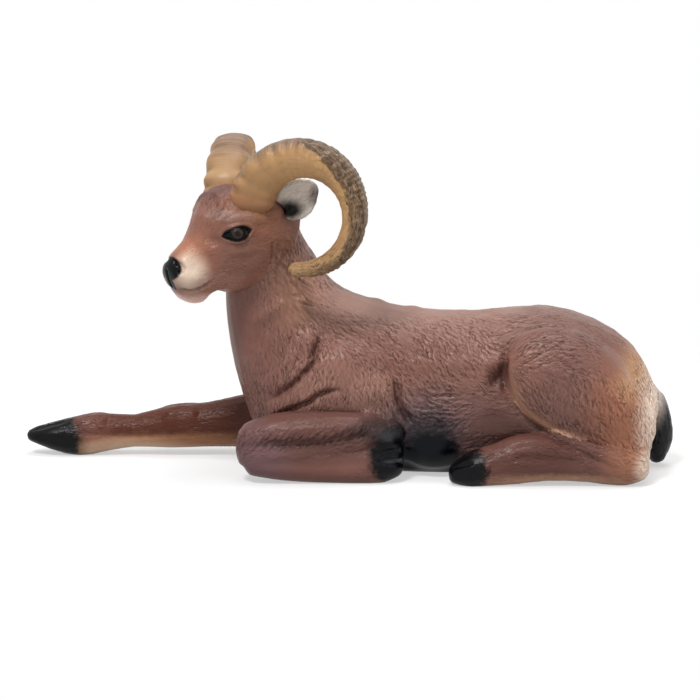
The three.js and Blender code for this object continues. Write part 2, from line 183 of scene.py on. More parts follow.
def closeSeams(clays, seams):
    # the skin of all pieces joined, smoothed over each seam; the pieces settle onto it there
    points, quads, first = [], [], 0
    for clay in clays.values():
        points.append(clay["points"])
        quads.append(clay["quads"] + first)
        first += len(clay["points"])
    mesh = bpy.data.meshes.new("skin")
    mesh.from_pydata(np.concatenate(points).tolist(), [], np.concatenate(quads).tolist())
    ob = newObject("skin", mesh)
    skin = remeshed(ob, seamWork["voxel"])
    edges = edgesOf(ob)
    zones = [(rounds, patch(skin["points"], at, size)) for pieces, at, size, rounds in seams]
    for turn in range(max(rounds for rounds, soft in zones)):
        soft = np.max([soft for rounds, soft in zones if rounds > turn], axis=0)
        mean = neighbourMean(skin["points"], edges)
        skin["points"] = skin["points"] + (mean - skin["points"]) * (0.5 * soft)[:, None]
    tree = BVHTree.FromPolygons(skin["points"].tolist(), skin["quads"].tolist())
    for pieces, at, size, rounds in seams:
        least = seamWork["facingJoined"] if len(pieces) > 1 else seamWork["facingAlone"]
        for piece in pieces:
            clay = clays[piece]
            sunk = seamWork["sunk"] if piece != pieces[-1] else 0.0
            near = patch(clay["points"], at, size)
            for index in np.nonzero(near > 0.02)[0]:
                point = clay["points"][index]
                hit, facing = tree.find_nearest(Vector(point), seamWork["reach"])[:2]
                if hit and facing.dot(Vector(clay["normals"][index])) > least:
                    clay["points"][index] += near[index] * (np.array(hit - sunk * facing) - point)
            refreshNormals(clay)
    bpy.data.objects.remove(ob)
    print("seams closed:", len(seams))


def falloff(distance):
    near = np.clip(1 - distance, 0, 1)
    return near * near * (3 - 2 * near)


def pathDistance(flat, path):
    # distance to a drawn line, below zero on its right, and the share of the line that is nearest
    path = np.array(path, float)
    best = np.full(len(flat), 1e9)
    share, side = np.zeros(len(flat)), np.ones(len(flat))
    for index, (start, end) in enumerate(zip(path[:-1], path[1:])):
        run, away = end - start, flat - start
        t = np.clip((away @ run) / (run @ run), 0, 1)
        gap = np.linalg.norm(away - t[:, None] * run, axis=1)
        closer = gap < best
        best[closer] = gap[closer]
        share[closer] = (index + t[closer]) / (len(path) - 1)
        side[closer] = np.where(run[0] * away[closer, 1] > run[1] * away[closer, 0], 1.0, -1.0)
    return best * side, share


def drawLine(clay, flat, where, path, wide, high, mark=None, much=1.0):
    # a groove where high is below zero, a welt where it is above; a given mark, the crease for painted
    # shade, follows the line
    gap, share = pathDistance(flat, path)
    ends = np.clip(np.minimum(share, 1 - share) / 0.15, 0, 1) ** 0.5
    shape = np.exp(-((gap / wide) ** 2)) * ends * where
    clay["points"] = clay["points"] + clay["normals"] * (high * shape)[:, None]
    if mark:
        clay["marks"][mark] = np.maximum(clay["marks"][mark], shape ** 2 * much)


def ledge(clay, flat, where, path, lift, drop, soft, wide, much=0.0, taper=0.4):
    # a fold: left of the line the form stands proud and rounds off, right of it the form is cut in, and
    # much paints shade into the cut
    gap, share = pathDistance(flat, path)
    ends = falloff(1 - np.minimum(share, 1 - share) / taper) * where
    rise = lift * np.exp(-((gap / np.where(gap > 0, soft, 0.16)) ** 2))
    dig = drop * np.exp(-(((gap + 0.2) / wide) ** 2))
    clay["points"] = clay["points"] + clay["normals"] * ((rise - dig) * ends)[:, None]
    # painted shade in the cut
    if much:
        dark = np.exp(-(((gap + 0.12) / (0.5 * wide)) ** 2)) * ends ** 2 * much
        clay["marks"]["crease"] = np.maximum(clay["marks"]["crease"], dark)
    return np.exp(-(((gap - 0.45) / 0.5) ** 2)) * ends


def spotFall(place, centre, size):
    return falloff(np.linalg.norm((place - np.array(centre)) / np.array(size), axis=1))


def patch(place, centre, size, steep=2.0):
    # a spot with a level middle
    return np.clip(steep * spotFall(place, centre, size), 0, 1)


def swell(clay, place, centre, size, high, mark=None, much=1.0):
    near = spotFall(place, centre, size)
    clay["points"] = clay["points"] + clay["normals"] * (high * near)[:, None]
    if mark:
        clay["marks"][mark] = np.maximum(clay["marks"][mark], near * much)


def calmed(place, zones, steep):
    # the share of the fur that stays, lower in each zone
    share = np.ones(len(place))
    for at, size, stays in zones:
        far = np.linalg.norm((place - np.array(at)) / np.array(size), axis=1) / 1.2
        share *= 1 - (1 - stays) * np.clip(steep * falloff(far), 0, 1)
    return share


def combedFlow(look, flat):
    # hair direction on a side view, eased between combed spots of (x, z, angle)
    spots, spread = np.array(look["combs"], float), look["spread"]
    turn = np.radians(spots[:, 2])
    gap = ((flat[:, None, :] - spots[None, :, :2]) ** 2).sum(2)
    weight = np.exp(-gap / (2 * spread * spread)) + 1e-9
    aim = np.stack([weight @ np.cos(turn), weight @ np.sin(turn)], 1)
    return aim / np.maximum(np.linalg.norm(aim, axis=1, keepdims=True), 1e-9)


def flankAims(look, flat):
    aim = combedFlow(look, flat)
    return np.stack([aim[:, 0], np.zeros(len(flat)), aim[:, 1]], 1)


def combFur(clay, comb, aims, strength, seed, lipMark="ridge"):
    # short gouged strokes along the hair in uneven clumps, each with a raised lip on both sides
    rng = np.random.default_rng(seed)
    points, normals = clay["points"], clay["normals"]
    strength = strength * np.clip(0.9 + 0.9 * ripple(points, comb["clump"], seed), 0.4, 1)
    order = rng.permutation(len(points))
    cells = np.floor(points[order] / comb["gap"]).astype(int)
    roots = order[np.unique(cells, axis=0, return_index=True)[1]]
    roots = roots[strength[roots] > 0.04]
    flat = aims - normals * (aims * normals).sum(1, keepdims=True)
    flat /= np.maximum(np.linalg.norm(flat, axis=1, keepdims=True), 1e-9)
    clay["hair"] = flat
    clay["marks"]["fur"] = np.maximum(clay["marks"]["fur"], strength)
    up, aim = normals[roots], flat[roots]
    side = np.cross(up, aim)
    sway = rng.normal(0, math.radians(comb["sway"]), len(roots))[:, None]
    aim, side = aim * np.cos(sway) + side * np.sin(sway), side * np.cos(sway) - aim * np.sin(sway)
    half = 0.5 * comb["length"] * rng.uniform(0.65, 1.3, len(roots))
    wide = comb["wide"] * rng.uniform(0.75, 1.25, len(roots))
    deep = rng.uniform(0.55, 1.0, len(roots)) * strength[roots]
    bend = rng.normal(0, comb["bend"], len(roots))
    tree = kdtree.KDTree(len(points))
    for index, point in enumerate(points):
        tree.insert(point, index)
    tree.balance()
    near, owner = [], []
    for index, root in enumerate(roots):
        found = [hit[1] for hit in tree.find_range(points[root], half[index] + 0.2)]
        near.extend(found)
        owner.extend([index] * len(found))
    near, owner = np.array(near, int), np.array(owner, int)
    away = points[near] - points[roots][owner]
    along = (away * aim[owner]).sum(1) / half[owner]
    across = (away * side[owner]).sum(1) / wide[owner] - bend[owner] * (1 - along * along)
    across /= np.clip(1.1 - 0.35 * along, 0.5, 1.5)
    length = np.clip(1 - along * along, 0, 1) * (np.abs((away * up[owner]).sum(1)) < 0.7) * deep[owner]
    gouge = np.exp(-across * across) * length
    lip = np.exp(-2 * (np.abs(across) - 1.6) ** 2) * length
    groove, ridge = np.zeros(len(points)), np.zeros(len(points))
    np.maximum.at(groove, near, gouge)
    np.maximum.at(ridge, near, lip)
    ridge = np.clip(ridge - groove, 0, 1)
    clay["points"] = points + normals * (comb["deep"] * (comb["lip"] * ridge - groove))[:, None]
    clay["marks"]["groove"] = np.maximum(clay["marks"]["groove"], groove)
    clay["marks"][lipMark] = np.maximum(clay["marks"][lipMark] * (groove < 0.3), ridge)
    refreshNormals(clay)
    return len(roots)


def ripple(points, size, seed):
    return np.array([noise.noise(Vector(p) / size + Vector((seed, 0, 0))) for p in points])


def finishPiece(ob, node, marks, material):
    # marks for the paint, then onto the frame in place of the moulded solid
    for name, values in marks.items():
        ob.data.attributes.new(name, "FLOAT", "POINT").data.foreach_set("value", values.astype(np.float32))
    ob.data.shade_smooth()
    ob.data.update()
    ob.data.materials.append(material)
    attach(ob, "root")
    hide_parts(node)
    print("sculpted", ob.name, len(ob.data.polygons), "faces")


def putAway(clay, node, material):
    # the sculpted clay in metres, cut level with the table
    ob, points = clay["ob"], clay["points"].copy()
    points[:, 2] = np.maximum(points[:, 2], 0.0)
    ob.data.vertices.foreach_set("co", (points * mm).ravel())
    finishPiece(ob, node, clay["marks"], material)
    ob.data.attributes.new("hair", "FLOAT_VECTOR", "POINT").data.foreach_set("vector", clay["hair"].ravel())


# paint: node helpers, then the shared effects


def paint(code):
    parts = [int(code[i:i + 2], 16) / 255 for i in (0, 2, 4)]
    return tuple(p / 12.92 if p <= 0.04045 else ((p + 0.055) / 1.055) ** 2.4 for p in parts) + (1.0,)


def wire(tree, node, wires):
    for key, value in wires.items():
        if isinstance(value, bpy.types.NodeSocket):
            tree.links.new(value, node.inputs[key])
        else:
            node.inputs[key].default_value = value


def put(tree, kind, wires=None, **settings):
    node = tree.nodes.new("ShaderNode" + kind)
    for key, value in settings.items():
        setattr(node, key, value)
    wire(tree, node, wires or {})
    return node


def math2(tree, operation, a, b=0.0, clamp=False):
    return put(tree, "Math", {0: a, 1: b}, operation=operation, use_clamp=clamp).outputs[0]


def over(tree, mask, under, top):
    # one coat of paint over another
    return put(tree, "Mix", {0: mask, 6: under, 7: top}, data_type="RGBA").outputs[2]


def times(tree, a, b, clamp=False):
    return math2(tree, "MULTIPLY", a, b, clamp)


def vector(tree, operation, a, b=None):
    # lengths and dot products come out as a number
    wires = {0: a}
    if b is not None:
        wires["Scale" if operation == "SCALE" else 1] = b
    outputs = put(tree, "VectorMath", wires, operation=operation).outputs
    return outputs["Value" if operation in ("LENGTH", "DOT_PRODUCT") else 0]


def rotated(tree, place, angle, axis):
    wires = {"Vector": place, "Angle": angle}
    return put(tree, "VectorRotate", wires, rotation_type=axis + "_AXIS").outputs[0]


def ramp(tree, value, low=0.0, high=1.0, start=0.0, end=1.0, **settings):
    wires = {"Value": value, "From Min": low, "From Max": high, "To Min": start, "To Max": end}
    return put(tree, "MapRange", wires, **settings).outputs[0]


def mottle(tree, place, scale, detail, rough=0.5, twist=0.0):
    wires = {"Vector": place, "Scale": scale, "Detail": detail, "Roughness": rough, "Distortion": twist}
    return put(tree, "TexNoise", wires).outputs[0]


def marked(tree, name):
    return put(tree, "Attribute", attribute_name=name).outputs["Fac"]


def newGroup(name, inputs, outputs):
    group = bpy.data.node_groups.new(name, "ShaderNodeTree")
    for label, kind, start in inputs:
        socket = group.interface.new_socket(label, in_out="INPUT", socket_type="NodeSocket" + kind)
        socket.default_value = start
    for label, kind in outputs:
        group.interface.new_socket(label, in_out="OUTPUT", socket_type="NodeSocket" + kind)
    return group, group.nodes.new("NodeGroupInput").outputs, group.nodes.new("NodeGroupOutput").inputs


def useGroup(tree, group, wires):
    node = tree.nodes.new("ShaderNodeGroup")
    node.node_tree = group
    wire(tree, node, wires)
    return node.outputs


def placeInMm(tree):
    return vector(tree, "SCALE", put(tree, "TexCoord").outputs["Object"], 1000.0)


def makeAirbrush():
    # a soft sprayed spot, an ellipsoid in millimetres
    tree, given, result = newGroup("airbrush", [
        ("Centre", "Vector", (0, 0, 0)),
        ("Size", "Vector", (1, 1, 1)),
        ("Turn", "Float", 0.0),
        ("Soft", "Float", 0.5),
        ("Ragged", "Float", 0.0),
    ], [("Mask", "Float")])
    place = placeInMm(tree)
    turned = rotated(tree, vector(tree, "SUBTRACT", place, given["Centre"]), given["Turn"], "Z")
    away = vector(tree, "LENGTH", vector(tree, "DIVIDE", turned, given["Size"]))
    mist = mottle(tree, place, 1.6, 3.0, 0.6)
    frayed = times(tree, math2(tree, "SUBTRACT", mist, 0.5), given["Ragged"])
    away = math2(tree, "ADD", away, frayed)
    inner = math2(tree, "SUBTRACT", 1.0, given["Soft"])
    outer = math2(tree, "ADD", 1.0, given["Soft"])
    mask = ramp(tree, away, inner, outer, 1.0, 0.0, interpolation_type="SMOOTHSTEP")
    tree.links.new(mask, result["Mask"])
    return tree


def makeStrokeWashShadeHighlight():
    # thin dark paint that settles in the strokes and paints their shade, painted shade along the creases,
    # and a dry brush over their lips that paints their highlights
    tree, given, result = newGroup("strokeWashShadeHighlight", [
        ("Paint", "Color", (1, 1, 1, 1)),
        ("Wash shade", "Color", (0, 0, 0, 1)),
        ("Settled wash shade", "Float", 0.7),
        ("Dry brush highlight", "Float", 0.3),
        ("Cloudy", "Float", 0.2),
    ], [("Colour", "Color")])
    place = placeInMm(tree)
    cloud = math2(tree, "SUBTRACT", mottle(tree, place, 0.35, 4.0, 0.6), 0.5)
    shade = math2(tree, "ADD", times(tree, cloud, given["Cloudy"]), 1.0)
    shaded = vector(tree, "SCALE", given["Paint"], shade)
    patchy = ramp(tree, mottle(tree, place, 0.9, 2.0), 0.3, 0.7, 0.45)
    # painted shade: the dark paint settles in the grooves of the strokes
    settledWashShade = times(tree, times(tree, marked(tree, "groove"), given["Settled wash shade"]), patchy, clamp=True)
    thinned = over(tree, 0.35, given["Wash shade"], shaded)
    washedAndShaded = over(tree, settledWashShade, shaded, thinned)
    # painted shade along the creases
    washedAndShaded = over(tree, times(tree, marked(tree, "crease"), 0.85), washedAndShaded, given["Wash shade"])
    # painted highlight: the lips of the strokes turn a lighter, warmer colour
    lit = over(tree, 0.12, vector(tree, "SCALE", shaded, 1.8), (1.0, 0.93, 0.86, 1.0))
    dryBrushHighlight = times(tree, marked(tree, "ridge"), given["Dry brush highlight"], clamp=True)
    tree.links.new(over(tree, dryBrushHighlight, washedAndShaded, lit), result["Colour"])
    return tree


def makeSatin():
    # uneven shine and fine grain of varnish put on with a brush
    tree, given, result = newGroup("satin", [
        ("Roughness", "Float", 0.45),
        ("Spread", "Float", 0.15),
        ("Grain", "Float", 6.0),
    ], [("Roughness", "Float"), ("Height", "Float")])
    place = placeInMm(tree)
    broad = math2(tree, "SUBTRACT", mottle(tree, place, 0.8, 3.0), 0.5)
    rough = math2(tree, "ADD", times(tree, broad, given["Spread"]), given["Roughness"], clamp=True)
    tree.links.new(rough, result["Roughness"])
    tree.links.new(mottle(tree, place, given["Grain"], 4.0, 0.65), result["Height"])
    return tree


def makeHairLines():
    # one fine incised line in each cell of a scatter, laid along the combed direction
    tree, given, result = newGroup("hairLines", [
        ("Cells", "Float", 1.2),
        ("Half length", "Float", 0.42),
        ("Half width", "Float", 0.07),
        ("Shift", "Vector", (0, 0, 0)),
    ], [("Line", "Float")])
    place = vector(tree, "ADD", placeInMm(tree), given["Shift"])
    cell = put(tree, "TexVoronoi", {"Vector": place, "Scale": given["Cells"]}).outputs
    away = vector(tree, "SUBTRACT", place, cell["Position"])
    chance = put(tree, "SeparateColor", {0: cell["Color"]}).outputs
    hair = put(tree, "Attribute", attribute_name="hair").outputs["Vector"]
    facing = put(tree, "NewGeometry").outputs["Normal"]
    sway = math2(tree, "SUBTRACT", chance["Blue"], 0.5)
    sideways = vector(tree, "SCALE", vector(tree, "CROSS_PRODUCT", facing, hair), sway)
    hair = vector(tree, "NORMALIZE", vector(tree, "ADD", hair, sideways))
    along = vector(tree, "DOT_PRODUCT", away, hair)
    rise = vector(tree, "DOT_PRODUCT", away, facing)
    rest = vector(tree, "DOT_PRODUCT", away, away)
    for part in (along, rise):
        rest = math2(tree, "SUBTRACT", rest, math2(tree, "POWER", part, 2.0))
    across = math2(tree, "SQRT", math2(tree, "MAXIMUM", rest, 0.0))
    length = times(tree, given["Half length"], math2(tree, "ADD", chance["Red"], 0.5))
    share = math2(tree, "DIVIDE", along, length)
    taper = math2(tree, "SUBTRACT", 1.0, math2(tree, "POWER", share, 2.0), clamp=True)
    width = times(tree, given["Half width"], math2(tree, "ADD", taper, 0.35))
    line = times(tree, ramp(tree, across, width, 0.0), taper)
    deep = ramp(tree, chance["Green"], start=0.35)
    tree.links.new(times(tree, line, deep), result["Line"])
    return tree


def makeCombedHair(hairLines):
    # three scatters, finer and shorter one after another
    tree, given, result = newGroup("combedHair", [("Size", "Float", 1.0)], [("Line", "Float")])
    line = None
    scatters = [(1.0, 0.65, (0, 0, 0)), (1.3, 0.52, (3.7, 1.3, 5.1)), (1.6, 0.42, (8.3, 6.1, 2.9))]
    for cells, half, shift in scatters:
        one = useGroup(tree, hairLines, {
            "Cells": math2(tree, "DIVIDE", cells, given["Size"]),
            "Half length": times(tree, half, given["Size"]),
            "Half width": times(tree, 0.065, given["Size"]),
            "Shift": shift,
        })["Line"]
        line = one if line is None else math2(tree, "MAXIMUM", line, one)
    tree.links.new(line, result["Line"])
    return tree


def makeAlmondEye():
    # painted eye on both sides of the head: lids, iris ring and pupil
    tree, given, result = newGroup("almondEye", [
        ("Centre", "Vector", (8.1, 0, 3.7)),
        ("Tilt", "Float", 0.2),
        ("Half length", "Float", 1.75),
        ("Half height", "Float", 0.85),
        ("Look", "Vector", (0.3, 0, 0.05)),
    ], [("Lids", "Float"), ("Iris", "Float"), ("Pupil", "Float")])
    away = vector(tree, "SUBTRACT", placeInMm(tree), tuple(headPivot))
    local = vector(tree, "MULTIPLY", rotated(tree, away, -headTurn, "Z"), (-1.0, 0.0, 1.0))
    away = vector(tree, "SUBTRACT", local, given["Centre"])
    level = put(tree, "SeparateXYZ", {0: rotated(tree, away, given["Tilt"], "Y")}).outputs
    longSquare = times(tree, given["Half length"], given["Half length"])
    tallSquare = times(tree, given["Half height"], given["Half height"])
    squares = math2(tree, "ADD", longSquare, tallSquare)
    radius = math2(tree, "DIVIDE", squares, times(tree, given["Half height"], 2.0))
    offset = math2(tree, "SUBTRACT", radius, given["Half height"])
    tall = math2(tree, "ADD", math2(tree, "ABSOLUTE", level["Z"]), offset)
    reach = put(tree, "CombineXYZ", {"X": level["X"], "Z": tall}).outputs[0]
    inside = math2(tree, "SUBTRACT", radius, vector(tree, "LENGTH", reach))
    lids = ramp(tree, inside, -0.05, 0.06)
    far = vector(tree, "LENGTH", vector(tree, "SUBTRACT", away, given["Look"]))
    tree.links.new(lids, result["Lids"])
    tree.links.new(times(tree, ramp(tree, far, 0.54, 0.44), lids), result["Iris"])
    tree.links.new(ramp(tree, far, 0.33, 0.23), result["Pupil"])
    return tree


airbrush = makeAirbrush()
strokeWashShadeHighlight = makeStrokeWashShadeHighlight()
satin = makeSatin()
almondEye = makeAlmondEye()
combedHair = makeCombedHair(makeHairLines())
print("paint effects made")

# shared by all paints: plastic under varnish, depth of the fine grain, paler tan paint on the lips of the
# locks, which also paints their highlight
varnishLook = {"specular": 0.08, "rough": 0.25, "weight": 0.3, "onGloss": 0.1, "spread": 0.2,
               "bump": 0.65, "bumpDepth": 0.0001, "locks": 0.6}


def spray(tree, spot, colour):
    mask = useGroup(tree, airbrush, {
        "Centre": spot["at"],
        "Size": spot["size"],
        "Turn": spot.get("turn", 0.0),
        "Soft": spot.get("soft", 0.5),
        "Ragged": spot.get("ragged", 0.0),
    })["Mask"]
    if spot.get("much", 1.0) < 1:
        mask = times(tree, mask, spot["much"])
    return over(tree, mask, colour, paint(spot["paint"])), mask


def newPaint(name, varnish):
    material = bpy.data.materials.new(name)
    material.use_nodes = True
    tree = material.node_tree
    tree.nodes.clear()
    shader = put(tree, "BsdfPrincipled", {
        "Specular IOR Level": varnishLook["specular"],
        "Coat Weight": varnish,
        "Coat Roughness": varnishLook["rough"],
    })
    put(tree, "OutputMaterial", {"Surface": shader.outputs[0]})
    return material, tree, shader


def washedAndShaded(tree, look, colour):
    return useGroup(tree, strokeWashShadeHighlight, {
        "Paint": colour,
        "Wash shade": paint(look["washShade"]),
        "Settled wash shade": look["settledWashShade"],
        "Dry brush highlight": look["dryBrushHighlight"],
        "Cloudy": look["cloudy"],
    })["Colour"]


def varnished(tree, look):
    return useGroup(tree, satin, {
        "Roughness": look["rough"],
        "Spread": varnishLook["spread"],
        "Grain": look["grain"],
    })


def bumped(tree, strength, height):
    wires = {"Strength": strength, "Distance": varnishLook["bumpDepth"], "Height": height}
    return put(tree, "Bump", wires).outputs[0]


def coatPaint(name, look, extra=None):
    # base coat, sprayed spots, dark paint and painted shade in the strokes and creases, painted highlight
    # on the stroke lips, satin varnish
    weight = look.get("varnish", varnishLook["weight"])
    material, tree, shader = newPaint(name, weight)
    base = put(tree, "RGB")
    base.outputs[0].default_value = paint(look["paint"])
    colour, shine = base.outputs[0], None
    for spot in look["spots"]:
        colour, mask = spray(tree, spot, colour)
        if spot.get("glossy"):
            shine = mask if shine is None else math2(tree, "MAXIMUM", shine, mask)
    # rim paint: a painted highlight along the thigh's lower edge on the torso, a dark rear edge on the ears
    if "rim" in look:
        colour = over(tree, marked(tree, "rim"), colour, paint(look["rim"]))
    if extra:
        colour, shine = extra(tree, colour, shine)
    # paler tan paint on the lips of the locks, which also paints their highlight
    if "lock" in look:
        locks = times(tree, marked(tree, "lock"), varnishLook["locks"], clamp=True)
        colour = over(tree, locks, colour, paint(look["lock"]))
    # dark paint and painted shade in the strokes and creases, painted highlight on their lips
    colour = washedAndShaded(tree, look, colour)
    # fine incised hair lines, darkened as their painted shade
    line = times(tree, useGroup(tree, combedHair, {"Size": look["hair"]})["Line"], marked(tree, "fur"))
    colour = over(tree, times(tree, line, look["lined"]), colour, paint(look["washShade"]))
    varnish = varnished(tree, look)
    rough = varnish["Roughness"]
    if shine is not None:
        rough = put(tree, "Mix", {0: shine, 2: rough, 3: look["glossyRough"]}).outputs[0]
        coat = ramp(tree, shine, start=weight, end=varnishLook["onGloss"])
        tree.links.new(coat, shader.inputs["Coat Weight"])
    height = math2(tree, "SUBTRACT", times(tree, varnish["Height"], look["grainBump"]), line)
    bump = bumped(tree, varnishLook["bump"], height)
    wire(tree, shader, {"Base Color": colour, "Roughness": rough, "Normal": bump, "Coat Normal": bump})
    return material


# nick above the hock, shared by the torso and the hind legs: middle, reach, height
hockNick = ((30.9, 5.0, 4.1), (1.8, 4.5, 1.2), -0.55)

# torso: barrel, neck, shoulders and thighs in one moulding

